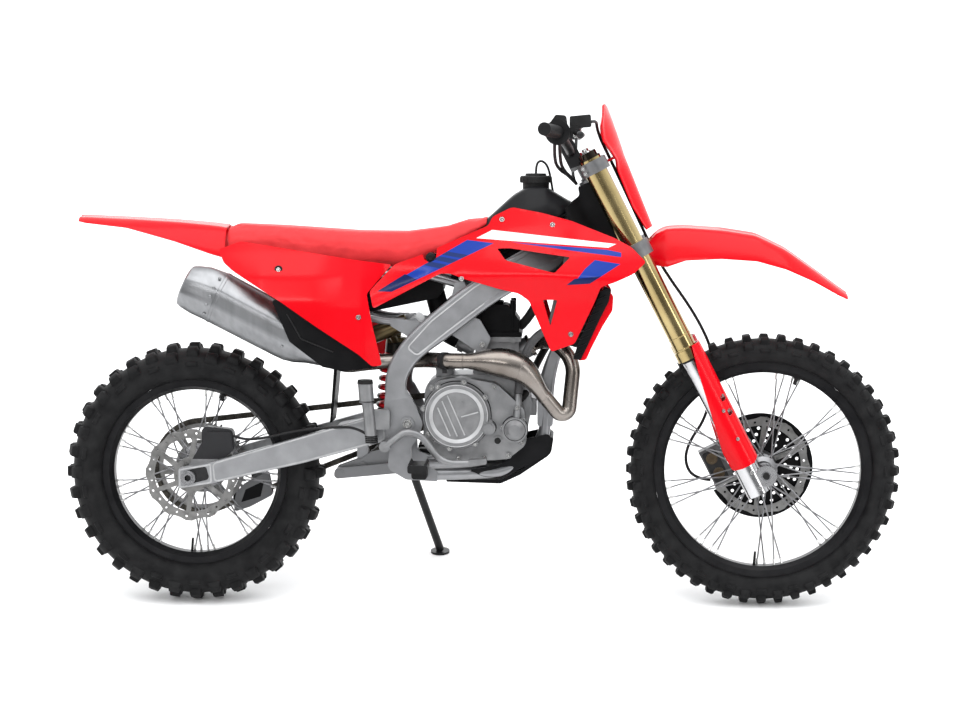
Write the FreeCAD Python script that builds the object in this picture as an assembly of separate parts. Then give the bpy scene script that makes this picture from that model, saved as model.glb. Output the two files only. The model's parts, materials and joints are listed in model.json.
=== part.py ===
import FreeCAD, Part
import math
import os
from FreeCAD import Matrix, Placement, Rotation, Vector

# Motocross bike, in millimetres, +X forwards, +Y to the rider's left, +Z up.
# It is drawn upright, with x = 0 under the rear axle of the drawing and z = 0 at the ground,
# and is then leaned on its side stand.

# Driving dimensions of the chassis
PIVOT_X = 564.0
PIVOT_Z = 483.0
SWINGARM_REACH = 564.0
REAR_AXLE_DROP = 142.0
HEAD_X = 1050.0
HEAD_Z = 1057.0
RAKE = 27.2
CLAMP_OFFSET = 22.0
HEAD_TOP = 54.0
HEAD_FOOT = -132.0
LOWER_CLAMP = -180.0
CLAMP_FRONT = 34.0
AXLE_LEAD = 36.0
AXLE_DROP = 820.0
LEAN = 10.0

# Driving dimensions of the wheels
FRONT_TYRE_R = 355.0
FRONT_TYRE_W = 92.0
FRONT_RIM_R = 280.0
FRONT_RIM_W = 48.0
REAR_TYRE_R = 341.0
REAR_TYRE_W = 128.0
REAR_RIM_R = 242.0
REAR_RIM_W = 64.0
RIM_DEPTH = 27.0
SPOKES = 36
SPOKE_R = 2.0
FRONT_DISC_R = 130.0
REAR_DISC_R = 120.0
DISC_T = 4.0
AXLE_R = 12.5
PIVOT_R = 10.0
AXLE_BORE_R = 8.0
RUNNING = 0.05
SEAT_GAP = 0.3

# Driving dimensions of the fork and bars
FORK_SPREAD = 100.0
FORK_TUBE_R = 29.0
SLIDER_R = 24.5
BAR_Z = 1228.0
BAR_HALF = 401.0
BAR_R = 11.1
GRIP_R = 16.0

# Driving dimensions of the drive
CHAIN_Y = 80.0
CHAIN_PITCH = 15.875
REAR_TEETH = 48
FRONT_TEETH = 13
FRONT_SPROCKET_X = 646.0
FRONT_SPROCKET_Z = 505.0
SPROCKET_T = 6.0
ARM_INNER = 97.0
ARM_T = 27.0
SPRING_TURNS = 7
PIVOT_ARM_IN = 70.0
PIVOT_ARM_OUT = 97.0
PLATE_IN = 100.0
PLATE_OUT = 117.0

REAR_AXLE = Vector(PIVOT_X - SWINGARM_REACH, 0, PIVOT_Z - REAR_AXLE_DROP)


def V(x, y, z):
    return Vector(x, y, z)


# Steering frame: its origin is on the steering axis, z up along it and x forwards
STEER = Placement(V(HEAD_X, 0, HEAD_Z), Rotation(V(0, 1, 0), -RAKE))
FRONT_AXLE = STEER.multVec(V(CLAMP_OFFSET + AXLE_LEAD, 0, -AXLE_DROP))


def steer(x, y, z):
    """A point of the steering frame in the upright bike's frame."""
    return STEER.multVec(V(x, y, z))


# General shapes
def rounded_wire(points, to_3d):
    """A closed wire through (u, v, corner radius) points, each corner an arc, placed by to_3d."""
    corners = []
    count = len(points)
    for i, point in enumerate(points):
        radius = point[2] if len(point) > 2 else 0.0
        here = Vector(point[0], point[1], 0)
        before = Vector(points[i - 1][0], points[i - 1][1], 0)
        after = Vector(points[(i + 1) % count][0], points[(i + 1) % count][1], 0)
        if radius <= 0:
            corners.append((here, None, here))
            continue
        to_before = (before - here).normalize()
        to_after = (after - here).normalize()
        half = to_before.getAngle(to_after) / 2
        trim = min(radius / math.tan(half), 0.48 * (before - here).Length, 0.48 * (after - here).Length)
        radius = trim * math.tan(half)
        start = here + to_before * trim
        end = here + to_after * trim
        centre = here + (to_before + to_after).normalize() * (radius / math.sin(half))
        middle = centre + (here - centre).normalize() * radius
        corners.append((start, middle, end))
    edges = []
    for i, (start, middle, end) in enumerate(corners):
        if middle is not None:
            edges.append(Part.Arc(to_3d(start), to_3d(middle), to_3d(end)).toShape())
        following = corners[(i + 1) % count][0]
        if (following - end).Length > 1e-4:
            edges.append(Part.makeLine(to_3d(end), to_3d(following)))
    return Part.Wire(edges)


def side_wire(points, y):
    """A closed wire in the side view, from (x, z, corner radius) points."""
    return rounded_wire(points, lambda p: V(p.x, y, p.y))


def side_plate(points, y0, y1, holes=()):
    """A plate with a side-view outline, from y0 to y1, with round holes (x, z, radius)."""
    plate = Part.Face(side_wire(points, y0)).extrude(V(0, y1 - y0, 0))
    low, high = min(y0, y1), max(y0, y1)
    for x, z, radius in holes:
        plate = plate.cut(Part.makeCylinder(radius, high - low + 20, V(x, low - 10, z), V(0, 1, 0)))
    return plate


def rod(start, end, radius, end_radius=None):
    """A round rod, or a cone, between two points."""
    axis = end - start
    if end_radius is None or abs(end_radius - radius) < 1e-6:
        return Part.makeCylinder(radius, axis.Length, start, axis)
    return Part.makeCone(radius, end_radius, axis.Length, start, axis)


def cross_rod(x, z, y0, y1, radius):
    """A round rod across the bike."""
    return Part.makeCylinder(radius, abs(y1 - y0), V(x, min(y0, y1), z), V(0, 1, 0))


def bent_path(points, share=0.45):
    """Straight runs joined by tangent arcs, each as large as its two runs allow or as stated."""
    edges = []
    last = points[0][:3] if len(points[0]) > 3 else points[0]
    last = V(*last)
    for i in range(1, len(points) - 1):
        here = V(*points[i][:3])
        before = V(*points[i - 1][:3])
        after = V(*points[i + 1][:3])
        back = (before - here).normalize()
        ahead = (after - here).normalize()
        half = back.getAngle(ahead) / 2
        room = share * min((before - here).Length, (after - here).Length)
        trim = room
        if len(points[i]) > 3:
            trim = min(points[i][3] / math.tan(half), room)
        start = here + back * trim
        end = here + ahead * trim
        radius = trim * math.tan(half)
        centre = here + (back + ahead).normalize() * (radius / math.sin(half))
        middle = centre + (here - centre).normalize() * radius
        edges.append(Part.makeLine(last, start))
        edges.append(Part.Arc(start, middle, end).toShape())
        last = end
    edges.append(Part.makeLine(last, V(*points[-1][:3])))
    return Part.Wire(edges)


def bent_tube(points, radius, share=0.45):
    """A round tube, solid inside, along straight runs and arcs."""
    path = bent_path(points, share)
    start = V(*points[0][:3])
    heading = V(*points[1][:3]) - start
    ring = Part.Wire(Part.makeCircle(radius, start, heading))
    return path.makePipeShell([ring], True, False)


def loft(wires, ruled=False):
    return Part.makeLoft(wires, True, ruled)


def fused(shapes):
    """One solid from pieces that meet."""
    whole = shapes[0]
    for shape in shapes[1:]:
        whole = whole.fuse(shape)
    return whole.removeSplitter()


def mirrored(shape):
    """The same shape on the other side of the bike."""
    return shape.mirror(V(0, 0, 0), V(0, 1, 0))


def both_sides(shape):
    return [shape, mirrored(shape)]


def turned(shape, centre, angle, axis=(0, 1, 0)):
    copy = shape.copy()
    copy.rotate(centre, V(*axis), angle)
    return copy


def ring_profile(points, centre):
    """A turned part about the cross axis through centre, from (y, radius) points."""
    wire = Part.makePolygon([V(centre.x, centre.y + y, centre.z + r) for y, r in points + points[:1]])
    return Part.Face(wire).revolve(centre, V(0, 1, 0), 360)


def bar_section(x, y, z, tilt, depth, width, corner):
    """A rounded rectangle across a beam that runs in the side view at an angle of tilt."""
    heading = V(math.cos(math.radians(tilt)), 0, math.sin(math.radians(tilt)))
    up = V(-heading.z, 0, heading.x)
    centre = V(x, y, z)
    points = [(-width / 2, -depth / 2, corner), (width / 2, -depth / 2, corner),
              (width / 2, depth / 2, corner), (-width / 2, depth / 2, corner)]
    return rounded_wire(points, lambda p: centre + V(0, p.x, 0) + up * p.y)


def panel(outline, holes, stations, thickness):
    """A moulded panel: a curved skin through (x, [(z, y), ...]) stations, cut to a side-view outline."""
    wires = []
    side = 1 if stations[0][1][0][1] > 0 else -1
    for x, points in stations:
        outer = [V(x, y, z) for z, y in points]
        inner = [V(x, y - side * thickness, z) for z, y in reversed(points)]
        wires.append(Part.makePolygon(outer + inner + outer[:1]))
    skin = loft(wires, True)
    reach = 400.0
    prism = side_plate(outline, 0, side * reach)
    for hole in holes:
        prism = prism.cut(side_plate(hole, 0, side * reach))
    return skin.common(prism)


# Wheels
def tyre(centre, radius, width, rim_r, rim_w, pitches, knob_h, rows, sides):
    """A knobbly tyre: rings of flat facets round the wheel, with the lug facets raised.

    rows are the lugs, (angle round the section, half angle, phase 0 or 1); sides are the plain
    stations of the sidewall. Angles run from the crown, 90 at the widest place, 180 at the bead."""
    crown = radius - knob_h
    step = math.pi / pitches
    bead_r = (rim_r + SEAT_GAP) / math.cos(step / 2)
    bead_y = rim_w / 2 - 1
    middle_r = bead_r + 0.45 * (crown - bead_r)
    half_w = width / 2 - 3
    stations = {a + s * h for a, h, _ in rows for s in (-1, 1)}
    stations = sorted(stations | {s * a for a in sides for s in (-1, 1)})

    def point(section, turn, lift=0.0, lift_at=None):
        angle = math.radians(section)
        if abs(section) <= 90:
            y = half_w * math.sin(angle)
            r = middle_r + (crown - middle_r) * math.cos(angle)
        else:
            y = math.copysign(bead_y, angle) + (half_w - bead_y) * math.sin(angle)
            r = middle_r + (middle_r - bead_r) * math.cos(angle)
        if lift:
            across = math.radians(lift_at)
            ny, nr = math.sin(across) / half_w, math.cos(across) / (crown - middle_r)
            size = math.hypot(ny, nr)
            y += lift * ny / size
            r += lift * nr / size
        return centre + V(r * math.sin(turn), y, r * math.cos(turn))

    lugs = {}
    for index in range(len(stations) - 1):
        for a, h, phase in rows:
            if abs(stations[index] - (a - h)) < 1e-9 and abs(stations[index + 1] - (a + h)) < 1e-9:
                lugs[index] = (a, phase)
    faces = []

    def quad(*corners):
        faces.append(Part.Face(Part.makePolygon(list(corners) + [corners[0]])))

    for k in range(2 * pitches):
        t0, t1 = (k - 0.5) * step, (k + 0.5) * step
        for i in range(len(stations) - 1):
            a0, a1 = stations[i], stations[i + 1]
            base = [point(a0, t0), point(a1, t0), point(a1, t1), point(a0, t1)]
            if i in lugs and lugs[i][1] == k % 2:
                at = lugs[i][0]
                top = [point(a0, t0, knob_h, at), point(a1, t0, knob_h, at),
                       point(a1, t1, knob_h, at), point(a0, t1, knob_h, at)]
                quad(*top)
                for j in range(4):
                    n = (j + 1) % 4
                    quad(base[j], base[n], top[n], top[j])
            else:
                quad(*base)
        quad(point(stations[-1], t0), point(stations[0], t0), point(stations[0], t1),
             point(stations[-1], t1))
    shell = Part.makeShell(faces)
    shell.sewShape()
    solid = Part.makeSolid(Part.Shell(shell.Faces))
    if solid.Volume < 0:
        solid.reverse()
    return solid


def front_tyre():
    rows = [(0, 11, 0), (28, 8, 1), (-28, 8, 1), (58, 10, 0), (-58, 10, 0)]
    return tyre(FRONT_AXLE, FRONT_TYRE_R, FRONT_TYRE_W, FRONT_RIM_R, FRONT_RIM_W, 33, 14.0, rows,
                (120, 180))


def rear_tyre():
    rows = [(0, 12, 0), (30, 9, 1), (-30, 9, 1), (58, 10, 0), (-58, 10, 0)]
    return tyre(REAR_AXLE, REAR_TYRE_R, REAR_TYRE_W, REAR_RIM_R, REAR_RIM_W, 27, 17.0, rows,
                (120, 180))


def rim(centre, radius, width):
    """A drop-centre rim, turned about the axle."""
    half = width / 2
    seat = radius - 14
    well = radius - RIM_DEPTH
    profile = [(-half, radius), (-half + 4, radius), (-half + 5, seat), (-half + 12, seat - 1),
               (-12, well + 3),
               (12, well + 3), (half - 12, seat - 1), (half - 5, seat), (half - 4, radius), (half, radius),
               (half, seat - 3), (14, well), (-14, well), (-half, seat - 3)]
    return ring_profile(profile, centre)


def hub(centre, flange_y, flange_r, barrel_r, ends, rim_well_r, seats=()):
    """A turned hub with its laced spokes joined to its two flanges."""
    profile = [(ends[0], AXLE_R + RUNNING), (ends[0], 19), (-flange_y - 12, 19),
        (-flange_y - 12, barrel_r + 4), (-flange_y - 5, flange_r), (-flange_y + 1, flange_r),
        (-flange_y + 8, barrel_r), (flange_y - 8, barrel_r), (flange_y - 1, flange_r),
        (flange_y + 5, flange_r), (flange_y + 12, barrel_r + 4), (flange_y + 12, 19), (ends[1], 19),
        (ends[1], AXLE_R + RUNNING)]
    body = ring_profile(profile, centre)
    pieces = [body]
    hole_r = flange_r - 5
    count = SPOKES // 2
    for side in (-1, 1):
        for i in range(count):
            turn = 360.0 / count * i + (0 if side < 0 else 180.0 / count)
            lace = 52.0 if i % 2 else -52.0
            y = side * flange_y + (2.4 if i % 2 else -2.4)
            start = centre + V(hole_r * math.sin(math.radians(turn)), y,
                               hole_r * math.cos(math.radians(turn)))
            out = turn + lace
            end_turn = turn + lace * 0.62
            end = centre + V(rim_well_r * math.sin(math.radians(end_turn)), side * 5,
                             rim_well_r * math.cos(math.radians(end_turn)))
            pieces.append(rod(start, end, SPOKE_R))
    whole = fused([body] + list(seats))
    return whole.multiFuse(pieces[1:]).removeSplitter()


def front_hub():
    disc_side = FRONT_DISC_Y - DISC_T / 2
    carrier = ring_profile([(20, 20), (disc_side, 20), (disc_side, 42), (disc_side - 5, 42), (30, 30),
                            (20, 30)],
                           FRONT_AXLE)
    return hub(FRONT_AXLE, 24, 37, 22, (-58, disc_side + 4), FRONT_RIM_R - RIM_DEPTH - 0.7, [carrier])


def rear_hub():
    left = CHAIN_Y - SPROCKET_T / 2
    right = REAR_DISC_Y + DISC_T / 2
    carriers = [ring_profile([(20, 20), (left, 20), (left, 62), (left - 8, 62), (left - 14, 36),
                              (20, 36)], REAR_AXLE),
                ring_profile([(-20, 20), (right, 20), (right, 46), (right + 7, 46), (right + 12, 32),
                              (-20, 32)],
                             REAR_AXLE)]
    return hub(REAR_AXLE, 30, 44, 28, (-ARM_INNER + 6, ARM_INNER - 6), REAR_RIM_R - RIM_DEPTH - 0.8,
               carriers)


def wave_disc(centre, radius, y, waves, bolt_r):
    """A wavy brake disc with a spider and a ring of holes."""
    inner = radius - 24
    points = []
    steps = waves * 4
    for i in range(steps):
        turn = 2 * math.pi * i / steps
        r = radius - (0 if i % 4 < 2 else 5)
        points.append((centre.x + r * math.sin(turn), centre.z + r * math.cos(turn)))
    ring = side_plate(points, y - DISC_T / 2, y + DISC_T / 2)
    ring = ring.cut(cross_rod(centre.x, centre.z, y - DISC_T, y + DISC_T, inner))
    hubs = cross_rod(centre.x, centre.z, y - DISC_T / 2, y + DISC_T / 2, bolt_r + 8)
    hubs = hubs.cut(cross_rod(centre.x, centre.z, y - DISC_T, y + DISC_T, bolt_r - 9))
    arms = []
    for i in range(6):
        turn = 60.0 * i
        arm = side_plate([(centre.x - 7, centre.z + bolt_r), (centre.x + 7, centre.z + bolt_r),
                          (centre.x + 16, centre.z + inner + 4), (centre.x + 4, centre.z + inner + 4)],
                         y - DISC_T / 2, y + DISC_T / 2)
        arms.append(turned(arm, centre, turn))
    disc = fused([ring, hubs] + arms)
    holes = []
    for i in range(waves * 2):
        turn = math.radians(360.0 / (waves * 2) * (i + 0.5))
        r = radius - 11 - 4 * (i % 2)
        holes.append(cross_rod(centre.x + r * math.sin(turn), centre.z + r * math.cos(turn),
                               y - DISC_T, y + DISC_T, 3.2))
    return disc.cut(Part.makeCompound(holes))


FRONT_DISC_Y = 55.0
REAR_DISC_Y = -78.0


def front_disc():
    return wave_disc(FRONT_AXLE, FRONT_DISC_R, FRONT_DISC_Y, 12, 34)


def rear_disc():
    return wave_disc(REAR_AXLE, REAR_DISC_R, REAR_DISC_Y, 12, 38)


def pitch_radius(teeth):
    return CHAIN_PITCH / (2 * math.sin(math.pi / teeth))


def rear_sprocket():
    """A toothed ring on a six-armed spider."""
    tip = pitch_radius(REAR_TEETH) + 2.5
    root = pitch_radius(REAR_TEETH) - 6.2
    points = []
    for i in range(REAR_TEETH):
        for share, r in ((-0.30, root), (-0.10, tip), (0.10, tip), (0.30, root)):
            turn = 2 * math.pi * (i + 0.5 + share) / REAR_TEETH
            points.append((REAR_AXLE.x + r * math.sin(turn), REAR_AXLE.z + r * math.cos(turn)))
    y0, y1 = CHAIN_Y - SPROCKET_T / 2, CHAIN_Y + SPROCKET_T / 2
    ring = side_plate(points, y0, y1).cut(cross_rod(REAR_AXLE.x, REAR_AXLE.z, y0 - 5, y1 + 5, root - 12))
    centre = cross_rod(REAR_AXLE.x, REAR_AXLE.z, y0, y1, 70)
    centre = centre.cut(cross_rod(REAR_AXLE.x, REAR_AXLE.z, y0 - 5, y1 + 5, 54))
    arms = []
    for i in range(6):
        arm = side_plate([(REAR_AXLE.x - 9, REAR_AXLE.z + 62), (REAR_AXLE.x + 9, REAR_AXLE.z + 62),
            (REAR_AXLE.x + 20, REAR_AXLE.z + root - 8), (REAR_AXLE.x - 6, REAR_AXLE.z + root - 8)], y0,
            y1)
        arms.append(turned(arm, REAR_AXLE, 60.0 * i + 20))
    return fused([ring, centre] + arms)


# Swingarm, axles, shock
def swingarm():
    """Two tapered alloy arms that close in towards the pivot, and a cross brace ahead of the tyre."""
    side = side_plate([(REAR_AXLE.x - 26, REAR_AXLE.z - 29, 6), (REAR_AXLE.x - 26, REAR_AXLE.z + 23, 6),
                       (43, 376, 10), (294, 447, 80), (450, 492, 60), (PIVOT_X - 6, PIVOT_Z + 28, 20),
                       (PIVOT_X + 30, PIVOT_Z + 8, 18), (PIVOT_X + 16, PIVOT_Z - 28, 18), (466, 424, 60),
                       (294, 378, 80), (56, 325, 10)], 0, 200)
    plan = Part.Face(rounded_wire([(-60, ARM_INNER), (135, ARM_INNER, 20), (340, 78, 200),
                                   (440, PIVOT_ARM_IN, 60),
                                   (640, PIVOT_ARM_IN), (640, PIVOT_ARM_OUT), (440, PIVOT_ARM_OUT + 1, 200),
                                   (60, ARM_INNER + ARM_T, 60), (-60, ARM_INNER + ARM_T)],
                                  lambda p: V(p.x, p.y, 200))).extrude(V(0, 0, 500))
    arm = side.common(plan)
    arm = arm.cut(cross_rod(REAR_AXLE.x, REAR_AXLE.z, 60, 150, AXLE_R + RUNNING))
    brace = side_plate([(368, 402, 12), (368, 462, 12), (450, 480, 12), (PIVOT_X - 6, PIVOT_Z + 24, 20),
                        (PIVOT_X + 28, PIVOT_Z, 18), (PIVOT_X, PIVOT_Z - 24, 20), (440, 424, 12)],
                       -PIVOT_ARM_IN - 8, PIVOT_ARM_IN + 8)
    window = Part.makeBox(120, 104, 200, V(452, -52, 380))
    lug = side_plate([(424, 346, 8), (424, 434), (450, 438), (456, 346, 8)], -14.7, 14.7,
                     [(440, 362, 8 + RUNNING)])
    whole = fused([arm, mirrored(arm), brace.cut(window), lug])
    return whole.cut(cross_rod(PIVOT_X, PIVOT_Z, -PIVOT_ARM_OUT - 5, PIVOT_ARM_OUT + 5, PIVOT_R + RUNNING))


def rear_axle():
    tube = cross_rod(REAR_AXLE.x, REAR_AXLE.z, -ARM_INNER - ARM_T - 12, ARM_INNER + ARM_T + 12, AXLE_R)
    blocks = []
    for side in (-1, 1):
        y = side * (ARM_INNER + ARM_T + SEAT_GAP)
        blocks.append(cross_rod(REAR_AXLE.x, REAR_AXLE.z, y, y + side * 9, 19))
    body = fused([tube] + blocks)
    return body.cut(cross_rod(REAR_AXLE.x, REAR_AXLE.z, -200, 200, AXLE_BORE_R))


def front_axle():
    tube = cross_rod(FRONT_AXLE.x, FRONT_AXLE.z, -FORK_SPREAD - 26, FORK_SPREAD + 26, AXLE_R)
    head = cross_rod(FRONT_AXLE.x, FRONT_AXLE.z, FORK_SPREAD + 26.3, FORK_SPREAD + 34, 17)
    stub = cross_rod(FRONT_AXLE.x, FRONT_AXLE.z, FORK_SPREAD + 20, FORK_SPREAD + 30, AXLE_R)
    body = fused([tube, stub, head])
    return body.cut(cross_rod(FRONT_AXLE.x, FRONT_AXLE.z, -200, 200, AXLE_BORE_R))


def shock():
    """The damper with its spring and reservoir, on the rocker and pull rods under the swingarm."""
    top = V(530, 0, 728)
    foot = V(498, 0, 402)
    body = [rod(top, foot, 12), rod(top + (foot - top) * 0.10, top + (foot - top) * 0.32, 26)]
    axis = (foot - top).normalize()
    for i in range(SPRING_TURNS):
        centre = top + (foot - top) * (0.30 + 0.07 * i)
        body.append(Part.makeTorus(30, 6.5, centre, axis))
        body.append(Part.makeCylinder(31, 5, centre - axis * 2.5, axis))
    eye = cross_rod(foot.x, foot.z, -14, 14, 15)
    crown = cross_rod(top.x, top.z, -16, 16, 17)
    reservoir = rod(V(560, -50, 738), V(470, -50, 703), 22)
    bridge = rod(V(526, -18, 684), V(514, -50, 714), 10)
    cheeks = both_sides(side_plate([(372, 328, 12), (376, 356, 12), (440, 380, 12), (486, 416, 14),
                                    (512, 410, 14),
                                    (530, 380, 12), (450, 346, 20)], 15, 22))
    rods = both_sides(side_plate([(364, 326, 12), (368, 354, 12), (548, 372, 12), (552, 344, 12)], 26, 38))
    pins = [cross_rod(382, 342, -40, 40, 9), cross_rod(536, 358, -40, 40, 9),
            cross_rod(foot.x, foot.z, -24, 24, 8),
            cross_rod(440, 362, -26, 26, 8)]
    return fused(body + [eye, crown, reservoir, bridge] + cheeks + rods + pins)


# Frame
def main_frame():
    """Twin alloy spars from the head to the pivot plates, with the down tube and the lower cradle."""
    head = rod(steer(0, 0, HEAD_TOP), steer(0, 0, HEAD_FOOT), 31)
    spar = loft([bar_section(1062, 32, 1006, 36, 92, 24, 8), bar_section(960, 65, 942, 34, 88, 26, 8),
                 bar_section(850, 100, 876, 36, 82, 30, 8), bar_section(748, 108, 812, 39, 78, 32, 8),
                 bar_section(640, 108, 728, 40, 74, 32, 8), bar_section(566, 106, 660, 58, 62, 30, 8),
                 bar_section(534, 107, 590, 80, 54, 24, 6), bar_section(540, 108.5, 545, 100, 62, 17, 4)])
    spar = spar.common(Part.makeBox(900, 200, 900, V(400, 12, 300)))
    pocket = loft([bar_section(990, 67, 962, 34, 44, 4, 1), bar_section(960, 78.5, 942, 34, 50, 4, 1),
                   bar_section(850, 115.5, 876, 36, 48, 4, 1), bar_section(748, 124.5, 812, 39, 46, 4, 1),
                   bar_section(640, 124.5, 728, 40, 44, 4, 1), bar_section(580, 122, 672, 54, 36, 4, 1)])
    spar = spar.cut(pocket)
    hanger = side_plate([(672, 712, 6), (708, 762, 6), (748, 748, 10), (776, 700, 8), (762, 668, 10),
                         (742, 666, 10)],
                        86, 98)
    hanger_bolt = cross_rod(754, 684, 64 + SEAT_GAP, 104, 9)
    plate = side_plate([(508, 570, 20), (562, 570, 20), (584, 530, 20), (604, 482, 26), (590, 446, 20),
        (572, 420, 20), (574, 380, 16), (640, 362, 10), (640, 334, 4), (560, 338, 20), (512, 366, 20),
        (520, 440, 20), (500, 480, 20)], PLATE_IN, PLATE_OUT, [(PIVOT_X, PIVOT_Z, PIVOT_R)])
    pivot = cross_rod(PIVOT_X, PIVOT_Z, -PLATE_OUT - 6, PLATE_OUT + 6, PIVOT_R)
    caps = [cross_rod(PIVOT_X, PIVOT_Z, PLATE_OUT, PLATE_OUT + 9, 17),
            cross_rod(PIVOT_X, PIVOT_Z, -PLATE_OUT, -PLATE_OUT - 9, 17)]
    down = loft([bar_section(1078, 0, 1002, -70, 42, 42, 10), bar_section(970, 0, 722, -64, 44, 44, 10),
                 bar_section(938, 0, 651, -66, 46, 44, 10), bar_section(914, 0, 535, -84, 44, 60, 10)])
    yoke = side_plate([(894, 552, 8), (936, 552, 8), (934, 470, 8), (894, 470, 8)], -62, 62)
    cradle = bent_tube([(915, 48, 520), (912, 50, 425), (820, 56, 350), (660, 98, 350), (600, 101, 350)],
                       15)
    top_cross = side_plate([(604, 690, 12), (560, 742, 12), (580, 756, 12), (630, 704, 12)], -96, 96)
    rail_lug = side_plate([(674, 800, 6), (716, 824, 6), (708, 846, 6), (684, 842, 6)], 80, 100)
    strut_lug = side_plate([(606, 700), (606, 742), (520, 752, 6), (520, 732, 6), (572, 700)], 92.3, 106)
    shock_ear = side_plate([(510, 728, 10), (530, 750, 10), (575, 756), (604, 704), (560, 706, 8),
                            (520, 712, 8)],
                           16.3, 26)
    radiator_lug = cross_rod(975, 912, 60, 98 - SEAT_GAP, 8)
    stand_lug = Part.makeCylinder(14, 26, STAND_PIVOT - stand_axis() * (STAND_BOSS / 2 + SEAT_GAP),
                                  stand_axis() * -1)
    stand_plate = side_plate([(508, 358, 10), (508, 404, 10), (560, 412, 10), (560, 350, 10)],
                             PLATE_OUT - 2,
                             PLATE_OUT + 8)
    return fused([head, down, yoke, top_cross, pivot, stand_lug, stand_plate] + caps + both_sides(spar)
                 + both_sides(plate) + both_sides(cradle) + both_sides(rail_lug) + both_sides(strut_lug)
                 + both_sides(shock_ear) + both_sides(radiator_lug) + both_sides(hanger)
                 + both_sides(hanger_bolt))


def subframe():
    """The rear frame: an upper rail and a lower strut on each side, joined across."""
    upper = bent_tube([(704, 69.7, 832), (590, 71, 866), (500, 75, 862), (330, 78, 862), (120, 66, 894)],
                      10)
    lower = bent_tube([(554, 82, 742), (500, 82, 742), (330, 88, 790), (170, 70, 880)], 10)
    ties = [rod(V(330, -78, 862), V(330, 78, 862), 8), rod(V(140, -67, 891), V(140, 67, 891), 8),
            rod(V(590, -71, 866), V(590, 71, 866), 9)]
    pad = rod(V(440, 73, 862), V(440, 73, 878 - SEAT_GAP), 9)
    return fused(both_sides(upper) + both_sides(lower) + ties + both_sides(pad))


# Engine
DECK_Z = 604.0
CASE_HALF = 66.0


def crankcase():
    case = side_plate([(600, 440, 30), (606, 590, 40), (690, DECK_Z, 20), (862, DECK_Z, 16),
        (882, 530, 30), (862, 425, 30), (800, 384, 20), (690, 376, 30), (622, 396, 30)], -CASE_HALF,
        CASE_HALF)
    left_cover = cross_rod(770, 480, CASE_HALF, 112, 74)
    left_rim = cross_rod(770, 480, CASE_HALF, 98, 84)
    sprocket_cover = side_plate([(604, 452, 16), (604, 552, 20), (680, 552, 20), (690, 452, 16)], 92, 98)
    sprocket_post = cross_rod(672, 456, CASE_HALF, 93, 9)
    front_lug = side_plate([(868, 496, 6), (891.5, 496), (891.5, 540), (868, 544, 6)], -40, 40)
    left_face = rod(V(770, 110, 480), V(770, 118, 480), 62, 56)
    left_ears = [turned(cross_rod(770, 559, CASE_HALF, 104, 8), V(770, 0, 480),
                        60.0 * i + 20) for i in range(6)]
    starter = cross_rod(655, 620, -44, 52, 24)
    starter_seat = side_plate([(632, 590), (632, 622, 6), (678, 622, 6), (678, 598)], -36, 36)
    return fused([case, left_rim, left_cover, left_face] + left_ears
                 + [sprocket_cover, sprocket_post, front_lug, starter, starter_seat])


PUMP_OUTLET = Vector(846, -96, 556)
LID_X = 690.0
LID_Z = 505.0


def clutch_cover():
    """The right side cover: a round clutch lid, the case it sits on and the water pump."""
    base = side_plate([(612, 470, 40), (620, 590, 50), (700, 602, 40), (790, 586, 40), (862, 520, 24),
                       (868, 430, 30),
                       (820, 392, 20), (690, 384, 60)], -CASE_HALF - SEAT_GAP, -112)
    middle = V(LID_X, 0, LID_Z)
    lid = cross_rod(LID_X, LID_Z, -112, -128, 86)
    ring = ring_profile([(-127, 66), (-127, 85), (-137, 80), (-137, 70)], middle)
    dish = rod(V(LID_X, -126, LID_Z), V(LID_X, -133, LID_Z), 67, 60)
    ears = [turned(cross_rod(LID_X, LID_Z + 86, -112, -130, 8), middle, 45.0 * i + 12) for i in range(8)]
    strips = [side_plate([(LID_X + x - 3, LID_Z - 40), (LID_X + x + 3, LID_Z - 40),
                          (LID_X + x + 3, LID_Z + 40), (LID_X + x - 3, LID_Z + 40)], -128, -135.5)
              for x in (-24, 0, 24)]
    bars = [turned(strip, middle, 24) for strip in strips]
    edge_bolts = [cross_rod(x, z, -104, -117, 8) for x, z in ((626, 574), (786, 578), (844, 524),
        (856, 436), (822, 402), (760, 396), (694, 394), (634, 440))]
    filler = cross_rod(772, 474, -112, -140, 17)
    filler_cap = cross_rod(772, 474, -140, -147, 13)
    window = cross_rod(794, 440, -112, -119, 11)
    pump = rod(V(838, -112, 470), V(838, -140, 470), 32)
    pump_nose = rod(V(838, -139, 470), V(838, -150, 470), 26, 15)
    pump_ears = [turned(cross_rod(838, 502, -112, -128, 7), V(838, 0, 470),
                        120.0 * i + 40) for i in range(3)]
    outlet = rod(V(842, -122, 480), PUMP_OUTLET, 10)
    return fused([base, lid, ring, dish] + ears + bars + edge_bolts
                 + [filler, filler_cap, window, pump, pump_nose] + pump_ears + [outlet])


PORT_START = Vector(840, 0, 655)
PORT_END = Vector(872, 0, 672)
INTAKE_START = Vector(734, 0, 668)
INTAKE_END = Vector(690, 0, 690)


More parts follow.
